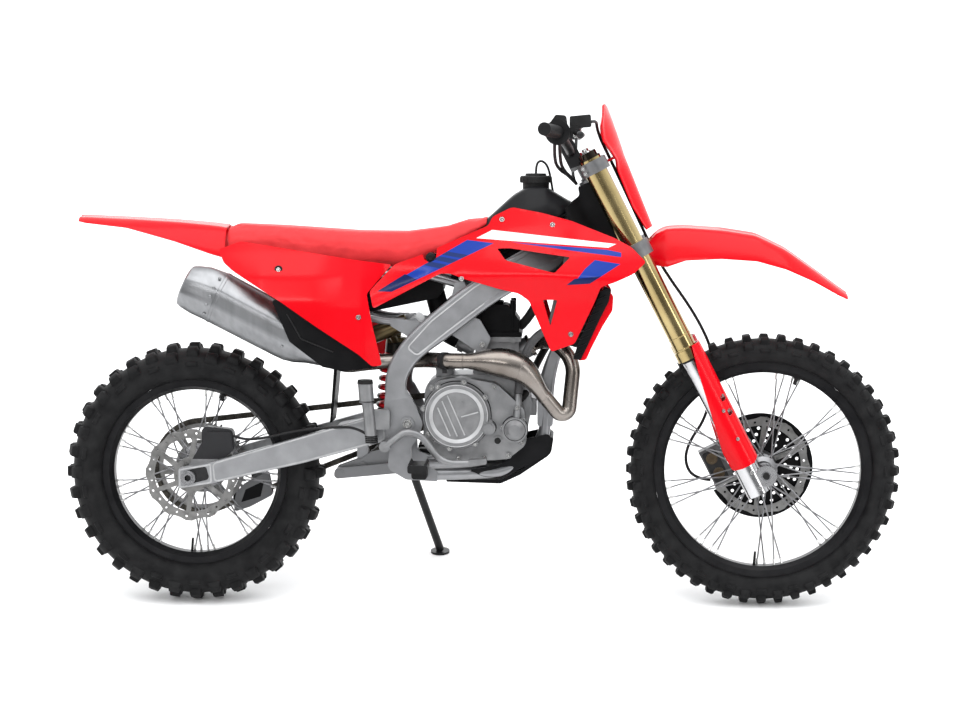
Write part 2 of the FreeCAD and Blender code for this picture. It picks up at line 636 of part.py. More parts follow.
def cylinder():
    """Barrel and head in one, with the exhaust port ahead and the intake stub behind."""
    low = DECK_Z + SEAT_GAP
    barrel = side_plate([(734, low, 6), (734, 700, 6), (846, 700, 6), (846, low, 6)], -50, 50)
    decks = [side_plate([(728, z, 5), (728, z + t, 5), (852, z + t, 5), (852, z, 5)], -58, 58)
             for z, t in ((low, 11), (644, 8), (687, 13))]
    nuts = [cross_rod(x, 691, side * 56, side * 64, 7) for x in (748, 832) for side in (-1, 1)]
    port = rod(PORT_START, PORT_END, 27)
    intake = rod(INTAKE_START, INTAKE_END, 26)
    clamp = rod(INTAKE_START + (INTAKE_END - INTAKE_START) * 0.55,
                INTAKE_START + (INTAKE_END - INTAKE_START) * 0.85, 30)
    return fused([barrel] + decks + nuts + [port, intake, clamp])


def head_cover():
    """The black cam cover: a rim on the head, a narrower box on it and four bolts."""
    low = 700 + SEAT_GAP
    rim = side_plate([(728, low, 3), (728, low + 12, 3), (854, low + 12, 3), (854, low, 3)], -58, 58)
    box = side_plate([(736, low, 4), (732, 742, 12), (754, 783, 16), (818, 783, 16), (848, 742, 12),
                      (846, low, 4)],
                     -50, 50)
    crest = side_plate([(764, 776, 4), (770, 790, 4), (804, 790, 4), (810, 776, 4)], -30, 30)
    bolts = [Part.makeCylinder(7, 90, V(x, y, 704)) for x in (752, 830) for y in (-44, 44)]
    breather = rod(V(744, 20, 762), V(722, 20, 776), 8)
    return fused([rim, box, crest, breather] + bolts)


def exhaust_header():
    """The front pipe: down, round to the right, swollen into a chamber and back inside the spar."""
    out = (PORT_END - PORT_START).normalize()
    turn = PORT_END + out * 22
    flange = rod(PORT_END + out * SEAT_GAP, PORT_END + out * 8, 30)
    stub = rod(PORT_END + out * 4, turn, 19)
    elbow = Part.makeSphere(19, turn)
    front = bent_tube([(turn.x, turn.y, turn.z), (936, -64, 694), (988, -84, 640), (972, -96, 480),
                       (912, -118, 556)], 19)
    chamber = loft([Part.Wire(Part.makeCircle(r, V(x, y, z), V(-dx, dy, dz))) for x, y, z, r, dx, dy, dz in
                    ((914, -117, 553, 19, 0.62, -0.25, 0.75), (890, -126, 590, 25, 0.8, -0.1, 0.6),
                     (850, -134, 628, 36, 0.93, 0, 0.35), (800, -136, 642, 37, 1, 0, 0.05),
                     (745, -134, 645, 25, 1, 0.05, 0), (704, -130, 645, 20, 1, 0.1, 0))])
    end = V(MUFFLER_X, MUFFLER_Y, MUFFLER_Z) - OUTLET_OUT * SEAT_GAP
    run_in = end - OUTLET_OUT * 44
    back = bent_tube([(706, -130.2, 645), (664, -126, 645), (606, -64, 642), (480, -63, 636), tuple(run_in),
                      tuple(end)], 20)
    return fused([flange, stub, elbow, front, chamber, back])


MUFFLER_X = 364.0
MUFFLER_Y = -100.0
MUFFLER_Z = 648.0
OUTLET = Vector(-14, MUFFLER_Y, 842)
OUTLET_OUT = Vector(-math.cos(math.radians(25)), 0, math.sin(math.radians(25)))
OUTLET_R = 21.0
OUTLET_DEPTH = 60.0


def muffler_section(x, z, depth, width, corner):
    return bar_section(x, MUFFLER_Y, z, -25.0, depth, width, corner)


def muffler():
    """A six-sided silencer that rises to the rear."""
    body = loft([muffler_section(MUFFLER_X, MUFFLER_Z, 44, 44, 20), muffler_section(318, 668, 74, 66, 24),
                 muffler_section(268, 704, 128, 96, 34), muffler_section(60, 812, 134, 100, 36),
                 muffler_section(0, 836, 112, 88, 36), muffler_section(-14, 842, 96, 76, 30)])
    return body.cut(Part.makeCylinder(OUTLET_R, OUTLET_DEPTH + 10, OUTLET + OUTLET_OUT * 10,
                                      OUTLET_OUT * -1))


def heat_guard():
    outline = [(224, 799, 6), (248, 806, 6), (446, 676, 10), (500, 650, 10), (486, 628, 10),
               (403, 618, 10), (350, 630, 10), (268, 695, 10)]
    stations = [(200, [(840, -158), (700, -158), (600, -156)]),
                (300, [(840, -156), (700, -155), (600, -152)]),
                (400, [(840, -140), (700, -140), (600, -138)]),
                (520, [(840, -124), (700, -122), (600, -118)])]
    return panel(outline, [], stations, 4)


# Tank, seat and plastics
PEG_TOP = 392.0


def fuel_tank():
    """The tank: a belly between the spars, wider above them, highest just behind the head."""
    def section(x, low, belly, spar_top, half, high, top_half):
        points = [(-belly, low), (belly, low), (belly, spar_top), (half, spar_top),
                  (half, (spar_top + high) / 2),
                  (top_half, high), (-top_half, high), (-half, (spar_top + high) / 2), (-half, spar_top),
                  (-belly, spar_top)]
        return Part.makePolygon([V(x, y, z) for y, z in points + points[:1]])
    body = loft([section(670, 842, 46, 862, 52, 930, 34), section(760, 836, 50, 890, 72, 996, 42),
        section(830, 846, 50, 934, 88, 1062, 50), section(890, 870, 48, 974, 94, 1086, 56),
        section(940, 930, 36, 1004, 86, 1066, 46), section(978, 1008, 18, 1030, 62, 1046, 34)], True)
    foot = side_plate([(866, 931.8), (894, 948.8), (894, 985), (866, 972)], 79, 90)
    neck = Part.makeCylinder(34, 30, V(888, 0, 1070))
    cap = Part.makeCylinder(40, 16, V(888, 0, 1098))
    return fused([body, neck, cap] + both_sides(foot))


def seat():
    def section(x, low, high, half, top_half):
        points = [(-half, low, 6), (half, low, 6), (top_half, high, 24), (-top_half, high, 24)]
        return rounded_wire(points, lambda p: V(x, p.x, p.y))
    return loft([section(96, 920, 988, 92, 70), section(240, 896, 982, 104, 88),
        section(440, 878, 970, 100, 84), section(560, 892, 968, 88, 70), section(660, 942, 982, 74, 56),
        section(768, 1004, 1016, 52, 40)])


def shroud(side):
    outline = [(480, 779, 6), (470, 822, 6), (533, 890, 6), (609, 917, 20), (770, 985, 10),
        (780, 1010, 4), (829, 1034, 20), (981, 1000, 60), (1089, 958, 20), (1166, 900, 3),
        (1134, 870, 20), (1054, 840, 40), (1036, 794, 20), (989, 694, 6), (966, 692, 6), (930, 672, 4),
        (874, 801, 20), (848, 819, 20), (797, 830, 20), (708, 855, 30), (650, 868, 40)]
    vent = [(793, 931, 8), (977, 909, 8), (937, 873, 8), (815, 902, 10)]
    triangle = [(910, 805, 4), (948, 801, 4), (928, 736, 4)]
    stations = [(440, [(1050, side * 120), (840, side * 142), (640, side * 142)]),
                (600, [(1050, side * 112), (900, side * 132), (640, side * 134)]),
                (760, [(1050, side * 100), (920, side * 146), (640, side * 146)]),
                (900, [(1050, side * 108), (900, side * 176), (640, side * 168)]),
                (1040, [(1050, side * 120), (900, side * 190), (640, side * 184)]),
                (1180, [(1050, side * 140), (900, side * 186), (640, side * 190)])]
    return panel(outline, [vent, triangle], stations, 4)


def side_panel(side):
    outline = [(83, 926, 6), (98, 893, 10), (122, 873, 10), (248, 796, 10), (445, 661, 10), (476, 631, 6),
               (500, 633, 6), (476, 740, 10), (463, 816, 6), (526, 889, 6), (442, 900, 20), (141, 947, 10)]
    stations = [(60, [(960, side * 104), (860, side * 128), (780, side * 134), (620, side * 140)]),
                (200, [(960, side * 118), (860, side * 160), (780, side * 168), (620, side * 168)]),
                (300, [(960, side * 118), (860, side * 160), (780, side * 166), (620, side * 166)]),
                (400, [(960, side * 116), (860, side * 144), (780, side * 156), (620, side * 156)]),
                (540, [(960, side * 120), (860, side * 126), (780, side * 130), (620, side * 130)])]
    return panel(outline, [], stations, 4)


def shrouds():
    """The two shrouds, each with a post that meets its radiator."""
    post = cross_rod(1000, 880, 160 + SEAT_GAP, 184, 8)
    return Part.makeCompound([fused([shroud(-1), mirrored(post)]), fused([shroud(1), post])])


def side_panels():
    """The two side panels, each with a post that meets the subframe rail."""
    post = cross_rod(420, 862, 86.4 + SEAT_GAP, 140, 8)
    return Part.makeCompound([fused([side_panel(-1), mirrored(post)]), fused([side_panel(1), post])])


def channel_fender(stations, thickness):
    """A fender skin, a crowned top with turned-down sides, through (x, top, edge, half width)."""
    wires = []
    for x, top, edge, half in stations:
        drop = 0.3 * (top - edge)
        outer = [(half, edge), (half * 0.94, top - drop), (half * 0.5, top), (-half * 0.5, top),
                 (-half * 0.94, top - drop), (-half, edge)]
        inner = [(y - math.copysign(thickness, y), z - (0 if i in (0, 5) else thickness * 0.7))
                 for i, (y, z) in enumerate(outer)]
        ring = [V(x, y, z) for y, z in outer] + [V(x, y, z) for y, z in reversed(inner)]
        wires.append(Part.makePolygon(ring + ring[:1]))
    return loft(wires, True)


def rear_fender():
    return channel_fender([(-291, 1006, 996, 52), (-160, 1004, 982, 76), (-33, 998, 945, 92),
                           (60, 990, 915, 98), (95.7, 986, 905, 100)], 4)


def front_fender():
    """The front fender, with the tongue that bolts it under the lower clamp."""
    skin = channel_fender([(1196, 970, 906, 62), (1222, 984, 890, 76), (1270, 984, 900, 82),
        (1360, 978, 906, 90), (1450, 964, 899, 88), (1526, 925, 878, 82), (1600, 872, 846, 72),
        (1686, 812, 800, 50)], 4)
    low = LOWER_CLAMP - SEAT_GAP
    ends = [steer(8, 0, low), steer(62, 0, low), V(1236, 0, 982), V(1266, 0, 982), V(1240, 0, 934),
            steer(8, 0, low - 12)]
    tongue = side_plate([(p.x, p.z) for p in ends], -34, 34)
    return fused([skin, tongue])


def air_box():
    """The air box under the seat, the boot to the engine and the mud flap ahead of the tyre."""
    box = side_plate([(290, 860, 20), (330, 720, 20), (420, 700, 20), (470, 765, 20), (640, 800, 20),
                      (660, 836, 20),
                      (620, 853, 10), (300, 850, 10)], -50, 50)
    flap = loft([bar_section(380, 0, 726, 90, 12, 90, 3), bar_section(368, 0, 560, 90, 8, 104, 3),
                 bar_section(360, 0, 476, 90, 6, 104, 2)])
    into = (INTAKE_END - INTAKE_START).normalize()
    end = INTAKE_END + into * SEAT_GAP
    bend = INTAKE_END + into * 40
    boot = bent_tube([(end.x, end.y, end.z), (bend.x, bend.y, bend.z), (624, 0, 820)], 26)
    return fused([box, flap, boot])


def radiators():
    """The two radiators and the hose from the water pump up to the right one."""
    right = side_plate([(915, 704, 10), (966, 925, 10), (1020, 914, 10), (972, 692, 10)], -160, -98)
    end = PUMP_OUTLET + V(0.1, 0.9, 2.4)
    hose = bent_tube([(end.x, end.y, end.z), (852, -81, 622), (880, -82, 700), (950, -112, 740)], 11)
    return Part.makeCompound([fused([right, hose]), mirrored(right)])


def skid_plate():
    outer = side_plate([(925, 447, 8), (936, 440, 6), (930, 400, 30), (850, 345, 30), (800, 322, 20),
                        (660, 326, 10),
                        (660, 332, 4), (800, 332, 20), (845, 352, 30), (920, 408, 30)], -70, 70)
    return outer


def footpegs():
    """The two pegs and the brackets that carry them on the pivot plates."""
    peg = side_plate([(572, 372, 6), (572, PEG_TOP, 4), (622, PEG_TOP, 4), (622, 372, 6)], 150, 236)
    arm = side_plate([(576, 344, 8), (574, 386, 6), (616, 386, 6), (616, 344, 8)], PLATE_OUT + SEAT_GAP,
                     152)
    return Part.makeCompound(both_sides(fused([peg, arm])))


def foot_controls():
    """The brake pedal on the right and the shift lever on the left."""
    pedal = bent_tube([(508, -150, 428), (560, -152, 468), (600, -152, 458), (655, -156, 386),
                       (730, -160, 388)], 9)
    tip = side_plate([(722, 380, 4), (722, 398, 4), (768, 402, 4), (768, 388, 4)], -178, -146)
    boss = cross_rod(508, 428, -158, -PLATE_OUT - SEAT_GAP, 14)
    lever = bent_tube([(716, 124, 392), (780, 134, 396), (820, 140, 404)], 7)
    toe = cross_rod(820, 404, 132, 176, 10)
    shaft = cross_rod(716, 392, CASE_HALF + SEAT_GAP, 130, 9)
    return Part.makeCompound([fused([pedal, tip, boss]), fused([lever, toe, shaft])])


def rear_brake():
    """The brake cylinder by the right footpeg and the caliper on the disc."""
    return Part.makeCompound([rear_master_cylinder(), rear_caliper()])


def rear_master_cylinder():
    body = rod(V(474, -138, 436), V(462, -138, 560), 15)
    cup = rod(V(462, -138, 540), V(458, -138, 590), 19)
    lug = side_plate([(468, 470, 6), (468, 520, 6), (520, 520, 6), (520, 470, 6)], -140,
                     -PLATE_OUT - SEAT_GAP)
    return fused([body, cup, lug])


def rear_caliper():
    """The caliper and the carrier that hangs it on the axle, inside the right arm."""
    body = side_plate([(30, 425, 14), (30, 470, 14), (110, 462, 14), (118, 410, 14), (60, 398, 8)], -92,
                      -62)
    slot = cross_rod(REAR_AXLE.x, REAR_AXLE.z, REAR_DISC_Y - DISC_T / 2 - 2, REAR_DISC_Y + DISC_T / 2 + 2,
                     REAR_DISC_R + 5)
    carrier = side_plate([(-20, 341, 18), (-8, 322, 10), (20, 326, 14), (112, 408, 8), (108, 456, 8),
        (48, 456, 8)], -ARM_INNER + SEAT_GAP, -ARM_INNER + 5, [(REAR_AXLE.x, REAR_AXLE.z,
        AXLE_R + RUNNING)])
    return fused([body.cut(slot), carrier])


def chain_path():
    """The pitch line of the chain: round both sprockets, with its links' corners."""
    front = V(FRONT_SPROCKET_X, 0, FRONT_SPROCKET_Z)
    rear_r, front_r = pitch_radius(REAR_TEETH), pitch_radius(FRONT_TEETH)
    reach = front - REAR_AXLE
    distance = reach.Length
    base = math.atan2(reach.z, reach.x)
    tilt = math.acos((rear_r - front_r) / distance)
    return front, rear_r, front_r, base, tilt


def drive_chain():
    """The chain as one loop, its edges waisted between the pins."""
    front, rear_r, front_r, base, tilt = chain_path()
    start = base + tilt
    teeth_angle = 2 * math.pi / REAR_TEETH

    def around(centre, radius, angle):
        return (centre.x + radius * math.cos(angle), centre.z + radius * math.sin(angle))

    loops = []
    for shift in (7.0, -7.0):
        points = []
        wrap = 2 * math.pi - 2 * tilt
        links = int(wrap / teeth_angle)
        first = start + (wrap - links * teeth_angle) / 2
        for i in range(links + 1):
            angle = first + i * teeth_angle
            points.append(around(REAR_AXLE, rear_r + shift, angle))
        for i in range(7):
            angle = base - tilt + 2 * tilt * i / 6
            points.append(around(front, front_r + shift, angle))
        loops.append(points)
    band = side_plate(loops[0], CHAIN_Y - 8, CHAIN_Y + 8)
    hollow = side_plate(loops[1], CHAIN_Y - 9, CHAIN_Y + 9)
    band = band.cut(hollow)
    slot = cross_rod(REAR_AXLE.x, REAR_AXLE.z, CHAIN_Y - SPROCKET_T / 2 - 1, CHAIN_Y + SPROCKET_T / 2 + 1,
                     rear_r + 4)
    sprocket = cross_rod(front.x, front.z, CHAIN_Y - SPROCKET_T / 2, CHAIN_Y + SPROCKET_T / 2, front_r - 7)
    return Part.makeCompound([band.cut(slot), sprocket])


def chain_guides():
    """The guide under the left arm that the lower run passes through, and the slider on the arm."""
    guide = side_plate([(88, 220, 6), (84, 262, 8), (110, 292, 8), (178, 330, 8), (190, 266, 8),
                        (130, 234, 8)],
                       CHAIN_Y - 14, CHAIN_Y + 14)
    channel = side_plate([(30, 209), (30, 330), (220, 345), (220, 285)], CHAIN_Y - 10.5, CHAIN_Y + 10.5)
    hanger = side_plate([(130, 290), (130, 341), (160, 347.8), (160, 300)], CHAIN_Y + 10.5, CHAIN_Y + 14)
    slider = side_plate([(470, 496), (470, 499), (540, 511.3), (540, 508.3)], PIVOT_ARM_IN,
                        PIVOT_ARM_OUT)
    return Part.makeCompound([fused([guide.cut(channel), hanger]), slider])


# Steering parts
def in_steer(shape):
    copy = shape.copy()
    copy.Placement = STEER.multiply(copy.Placement)
    return copy


def fork_rod(y, z0, z1, radius):
    return Part.makeCylinder(radius, abs(z1 - z0), V(CLAMP_OFFSET, y, min(z0, z1)))


def triple_clamps():
    pieces = []
    for low, high, ear in ((60, 92, 39), (LOWER_CLAMP, -142, 40)):
        plate = Part.makeBox(18 + CLAMP_FRONT, 2 * FORK_SPREAD, high - low, V(-18, -FORK_SPREAD, low))
        ears = [fork_rod(side * FORK_SPREAD, low, high, ear) for side in (-1, 1)]
        clamp = fused([plate] + ears)
        for side in (-1, 1):
            clamp = clamp.cut(fork_rod(side * FORK_SPREAD, low - 5, high + 5, FORK_TUBE_R + RUNNING))
        pieces.append(clamp)
    stem_top = Part.makeCylinder(14, 20, V(0, 0, 90))
    race_top = Part.makeCylinder(22, 60 - HEAD_TOP, V(0, 0, HEAD_TOP + SEAT_GAP))
    race_low = Part.makeCylinder(26, HEAD_FOOT + 142 - SEAT_GAP, V(0, 0, -142))
    bar = STEER.inverse().multVec(V(BAR_PATH[3][0], 0, BAR_PATH[3][2]))
    blocks = [Part.makeBox(40, 32, bar.z - 92 + 26, V(bar.x - 20, side * 50 - 16, 88)) for side in (-1, 1)]
    room = Part.makeCylinder(BAR_R + RUNNING, 200, V(bar.x, -100, bar.z), V(0, 1, 0))
    bridge = Part.makeBox(36, 84, 9, V(bar.x - 18, -42, bar.z + 13))
    pinch = [Part.makeCylinder(6, 14, V(bar.x + ahead, side * 50, bar.z + 18))
             for ahead in (-13, 13) for side in (-1, 1)]
    upper = fused([pieces[0], stem_top, race_top] + blocks + [bridge] + pinch).cut(room)
    return in_steer(Part.makeCompound([upper, fused([pieces[1], race_low])]))


def fork_tubes():
    tubes = []
    for side in (-1, 1):
        tube = fork_rod(side * FORK_SPREAD, -466, 102, FORK_TUBE_R)
        collar = fork_rod(side * FORK_SPREAD, -466, -440, FORK_TUBE_R + 4)
        cap = fork_rod(side * FORK_SPREAD, 102, 116, 24)
        tubes.append(fused([tube, collar, cap]))
    return in_steer(Part.makeCompound(tubes))


def fork_sliders():
    legs = []
    axle_x = CLAMP_OFFSET + AXLE_LEAD
    for side in (-1, 1):
        y = side * FORK_SPREAD
        slider = fork_rod(y, -AXLE_DROP + 40, -466 - SEAT_GAP, SLIDER_R)
        foot = fork_rod(y, -AXLE_DROP - 36, -AXLE_DROP + 56, 31)
        lug = Part.makeCylinder(27, 52, V(axle_x, y - 26, -AXLE_DROP), V(0, 1, 0))
        web = Part.makeBox(AXLE_LEAD, 44, 50, V(CLAMP_OFFSET, y - 22, -AXLE_DROP - 25))
        bosses = []
        if side > 0:
            bosses = [Part.makeCylinder(8, 20, V(x, FRONT_DISC_Y + 11.5 + SEAT_GAP, z), V(0, 1, 0))
                      for x, z in ((24, -AXLE_DROP + 24), (36, -AXLE_DROP - 30))]
        leg = fused([slider, foot, lug, web] + bosses)
        leg = leg.cut(Part.makeCylinder(AXLE_R + RUNNING, 80, V(axle_x, y - 40, -AXLE_DROP), V(0, 1, 0)))
        legs.append(leg)
    return in_steer(Part.makeCompound(legs))


def fork_guards():
    guards = []
    for side in (-1, 1):
        y = side * FORK_SPREAD
        outer = fork_rod(y, -774, -436, 40)
        inner = fork_rod(y, -766, -420, 36).fuse(fork_rod(y, -790, -766, 31.3))
        keep = rounded_wire([(40, -432, 6), (70, -432, 6), (70, -760, 10), (40, -778, 8), (-12, -770, 8),
                             (-14, -720, 10),
                             (24, -500, 20)], lambda p: V(p.x, -200, p.y))
        prism = Part.Face(keep).extrude(V(0, 400, 0))
        prism = prism.common(Part.makeBox(200, 80, 500, V(-60, side * 112 - 40, -850)))
        guard = outer.cut(inner).common(prism)
        for z in (-640, -600):
            slot = rounded_wire([(44, z, 3), (56, z + 4, 3), (56, z + 20, 3), (44, z + 16, 3)],
                                lambda p: V(p.x, -200, p.y))
            guard = guard.cut(Part.Face(slot).extrude(V(0, 400, 0)))
        guards.append(guard)
    return in_steer(Part.makeCompound(guards))


def number_plate():
    """The front plate: a board curved round the bars' middle that narrows down to the fender."""
    wires = []
    for z, half, middle, edge in ((206, 60, 122, 118), (182, 100, 120, 100), (124, 104, 114, 66),
                                  (60, 70, 104, 88),
                                  (-60, 62, 92, 84), (-128, 50, 86, 80)):
        outer = [(edge, -half), ((middle + edge) / 2 + 4, -half * 0.6), (middle, 0),
                 ((middle + edge) / 2 + 4, half * 0.6), (edge, half)]
        front = [V(x, y, z) for x, y in outer]
        rear = [p - V(4, 0, 0) for p in reversed(front)]
        wires.append(Part.makePolygon(front + rear + front[:1]))
    stays = [Part.makeBox(65, 12, 6, V(CLAMP_FRONT + SEAT_GAP, side * 40 - 6, 70)) for side in (-1, 1)]
    return in_steer(fused([loft(wires, True)] + stays))


BAR_PATH = [(915, -BAR_HALF, BAR_Z), (948, -262, BAR_Z - 8), (972, -130, 1182), (976, -92, 1172),
            (976, 92, 1172), (972, 130, 1182), (948, 262, BAR_Z - 8), (915, BAR_HALF, BAR_Z)]
BAR_BEND = 0.35


def bar_room():
    """The bar a little fatter and longer, to cut its seats."""
    tip = V(*BAR_PATH[-1])
    tip += (tip - V(*BAR_PATH[-2])).normalize() * SEAT_GAP
    return bent_tube([(tip.x, -tip.y, tip.z)] + BAR_PATH[1:-1] + [tuple(tip)], BAR_R + RUNNING, BAR_BEND)


def handlebar():
    """The bar with its four bends."""
    return bent_tube(BAR_PATH, BAR_R, BAR_BEND)


def grips():
    out = []
    for side in (-1, 1):
        start = V(914, side * (BAR_HALF + 4), BAR_Z)
        inner = V(944.5, side * 280, BAR_Z - 7)
        sleeve = rod(start, inner, GRIP_R)
        flange = rod(inner, inner + (inner - start).normalize() * 6, 31)
        out.append(fused([sleeve, flange]).cut(bar_room()))
    return Part.makeCompound(out)


def hand_controls():
    """Brake cylinder and lever on the right, clutch perch and lever on the left."""
    out = []
    for side in (-1, 1):
        clamp = rod(V(952.5, side * 236, BAR_Z - 12), V(949, side * 262, BAR_Z - 9), 21)
        body = rod(V(988, side * 200, BAR_Z - 4), V(985, side * 262, BAR_Z - 8), 16)
        neck = rod(V(952, side * 249, BAR_Z - 10), V(985, side * 249, BAR_Z - 7), 12)
        lever = bent_tube([(985, side * 255, BAR_Z - 8), (1006, side * 290, BAR_Z - 14),
                           (1000, side * 390, BAR_Z - 14)], 6.5)
        tip = Part.makeSphere(9, V(1000, side * 390, BAR_Z - 14))
        pieces = [clamp, body, neck, lever, tip]
        if side < 0:
            pieces.append(side_plate([(974, 1230, 5), (974, 1260, 5), (1026, 1265, 5), (1028, 1234, 5)],
                                     -254, -206))
            pieces.append(side_plate([(928, 1198, 8), (926, 1244, 10), (940, 1264, 8), (966, 1262, 8),
                                      (974, 1204, 8)],
                                     -266.5, -250))
        else:
            pieces.append(side_plate([(930, 1204, 8), (930, 1240, 8), (968, 1240, 8), (968, 1204, 8)],
                                     250, 266.5))
        out.append(fused(pieces).cut(bar_room()))
    return Part.makeCompound(out)


def front_caliper():
    ax, az = CLAMP_OFFSET + AXLE_LEAD, -AXLE_DROP
    body = Part.makeBox(56, 44, 100, V(-70, FRONT_DISC_Y - 20, az + 6))
    slot = Part.makeCylinder(FRONT_DISC_R + 5, DISC_T + 4, V(ax, FRONT_DISC_Y - DISC_T / 2 - 2, az),
                             V(0, 1, 0))
    leg = fork_rod(FORK_SPREAD, az - 40, az + 60, 31 + SEAT_GAP)
    bracket = Part.makeBox(24, 9, 26, V(-18, 70, az + 12)).cut(leg)
    return in_steer(fused([body.cut(slot), bracket]))


def front_disc_guard():
    """A thin plate outside the disc, open at the caliper."""
    y0, y1 = FRONT_DISC_Y + 8.5, FRONT_DISC_Y + 11.5
    plate = Part.makeCylinder(FRONT_DISC_R + 8, y1 - y0, V(CLAMP_OFFSET + AXLE_LEAD, y0, -AXLE_DROP),
                              V(0, 1, 0))
    bore = Part.makeCylinder(22, 40, V(CLAMP_OFFSET + AXLE_LEAD, y0 - 10, -AXLE_DROP), V(0, 1, 0))
    caliper = Part.makeBox(90, 60, 130, V(-98, FRONT_DISC_Y - 20, -AXLE_DROP - 5))
    holes = []
    for count, r in ((14, 66), (18, 82), (22, 98), (26, 114)):
        for i in range(count):
            turn = 2 * math.pi * (i + 0.5 * (r == 82 or r == 114)) / count
            centre = V(CLAMP_OFFSET + AXLE_LEAD + r * math.cos(turn), y0 - 10,
                       -AXLE_DROP + r * math.sin(turn))
            holes.append(Part.makeCylinder(4.2, 30, centre, V(0, 1, 0)))
    return in_steer(plate.cut(bore).cut(caliper).cut(Part.makeCompound(holes)))


def front_brake_hose():
    """From the lever's cylinder behind the plate, down inside the left leg and into the caliper."""
    start = V(988, -196, BAR_Z - 4)
    run = [(70, -60, 150), (70, 8, 60), (64, 46, -120), (62, 52, -230), (88, 64, -400), (80, 61, -520),
           (-5, 60, -640), (-75, 60, -690), (-100, 60, -745), (-96, 60, -784), (-74.5, 60, -790)]
    points = [(start.x, start.y, start.z), (1040, -150, 1262)] + [tuple(steer(*p)) for p in run]
    return bent_tube(points, 4)


def control_cables():
    throttle = bent_tube([(940, -266, 1196), (930, -200, 1150), (926, -110, 1120), (920, -100, 1090)], 4)
    clutch = bent_tube([(992, 196, 1216), (1000, 140, 1130), (960, 106, 1104), (920, 100, 1090)], 4)
    return Part.makeCompound([throttle, clutch])


# Side stand
STAND_PIVOT = V(534, 152, 380)
STAND_BOSS = 22.0
STAND_DOWN = V(0.22, 0.52, -0.82)
STAND_UP = V(-0.80, 0.03, 0.60)
STAND_LEG_R = 11.0
STAND_FOOT_R = 26.0
STAND_FOOT_T = 6.0


def stance(front, rear):
    """The placement that leans the bike and sets both tyres on the ground."""
    lean = Rotation(V(1, 0, 0), -LEAN)

    def lowest(shape):
        copy = shape.copy()
        copy.Placement = Placement(V(0, 0, 0), lean).multiply(copy.Placement)
        return copy.BoundBox.ZMin

    front_low, rear_low = lowest(front), lowest(rear)
    pitch = math.degrees(math.atan((front_low - rear_low) / (FRONT_AXLE.x - REAR_AXLE.x)))
    turn = Rotation(V(0, 1, 0), pitch).multiply(lean)
    low = 1e9
    for shape in (front, rear):
        copy = shape.copy()
        copy.Placement = Placement(V(0, 0, 0), turn).multiply(copy.Placement)
        low = min(low, copy.BoundBox.ZMin)
    return Placement(V(0, 0, -low), turn)


def stand_axis():
    """The stand's hinge axis: square to the chord between its two ends, nearest the cross axis."""
    chord = (V(*STAND_DOWN).normalize() - V(*STAND_UP).normalize()).normalize()
    cross = V(0, 1, 0)
    return (cross - chord * cross.dot(chord)).normalize()


def stand_fold():
    """The angle in degrees from down to folded about the hinge axis."""
    axis = stand_axis()
    down = V(*STAND_DOWN).normalize()
    up = V(*STAND_UP).normalize()
    down_flat = (down - axis * down.dot(axis)).normalize()
    up_flat = (up - axis * up.dot(axis)).normalize()
    angle = math.degrees(down_flat.getAngle(up_flat))
    return angle if down_flat.cross(up_flat).dot(axis) > 0 else -angle


def side_stand(placed):
    """The leg from its pivot to a foot that lies flat on the ground of the leaned bike."""
    pivot = placed.multVec(STAND_PIVOT)
    heading = placed.Rotation.multVec(V(*STAND_DOWN).normalize())
    length = (pivot.z - STAND_FOOT_T) / -heading.z
    foot = pivot + heading * length
    axis = placed.Rotation.multVec(stand_axis())
    leg = rod(pivot, foot + V(0, 0, STAND_FOOT_T / 2), STAND_LEG_R)
    boss = Part.makeCylinder(17, STAND_BOSS, pivot - axis * (STAND_BOSS / 2), axis)
    pad = Part.makeCylinder(STAND_FOOT_R, STAND_FOOT_T, V(foot.x, foot.y, 0))
    whole = fused([leg, boss, pad])
    whole.Placement = placed.inverse().multiply(whole.Placement)
    return whole


BODIES = {
    "chassis": {
        "main_frame": main_frame, "subframe": subframe, "swingarm": swingarm, "rear_axle": rear_axle,
        "shock": shock, "crankcase": crankcase, "clutch_cover": clutch_cover,
        "cylinder": cylinder, "head_cover": head_cover, "exhaust_header": exhaust_header,
        "muffler": muffler,
        "heat_guard": heat_guard, "radiators": radiators, "fuel_tank": fuel_tank, "seat": seat,
        "shrouds": shrouds, "side_panels": side_panels, "rear_fender": rear_fender, "air_box": air_box,
        "skid_plate": skid_plate, "footpegs": footpegs, "foot_controls": foot_controls,
        "rear_brake": rear_brake,
        "drive_chain": drive_chain, "chain_guides": chain_guides,
    },
    "steering": {
        "triple_clamps": triple_clamps, "fork_tubes": fork_tubes, "fork_sliders": fork_sliders,
        "fork_guards": fork_guards, "front_fender": front_fender, "number_plate": number_plate,
        "handlebar": handlebar, "grips": grips, "hand_controls": hand_controls,
        "front_caliper": front_caliper,
        "front_disc_guard": front_disc_guard, "front_axle": front_axle,
        "front_brake_hose": front_brake_hose,
        "control_cables": control_cables,
    },
    "front_wheel": {
        "front_tyre": front_tyre, "front_rim": lambda: rim(FRONT_AXLE, FRONT_RIM_R, FRONT_RIM_W),
        "front_hub": front_hub, "front_disc": front_disc,
    },
    "rear_wheel": {
        "rear_tyre": rear_tyre, "rear_rim": lambda: rim(REAR_AXLE, REAR_RIM_R, REAR_RIM_W),
        "rear_hub": rear_hub, "rear_disc": rear_disc, "rear_sprocket": rear_sprocket,
    },
    "side_stand": {"side_stand": None},
}


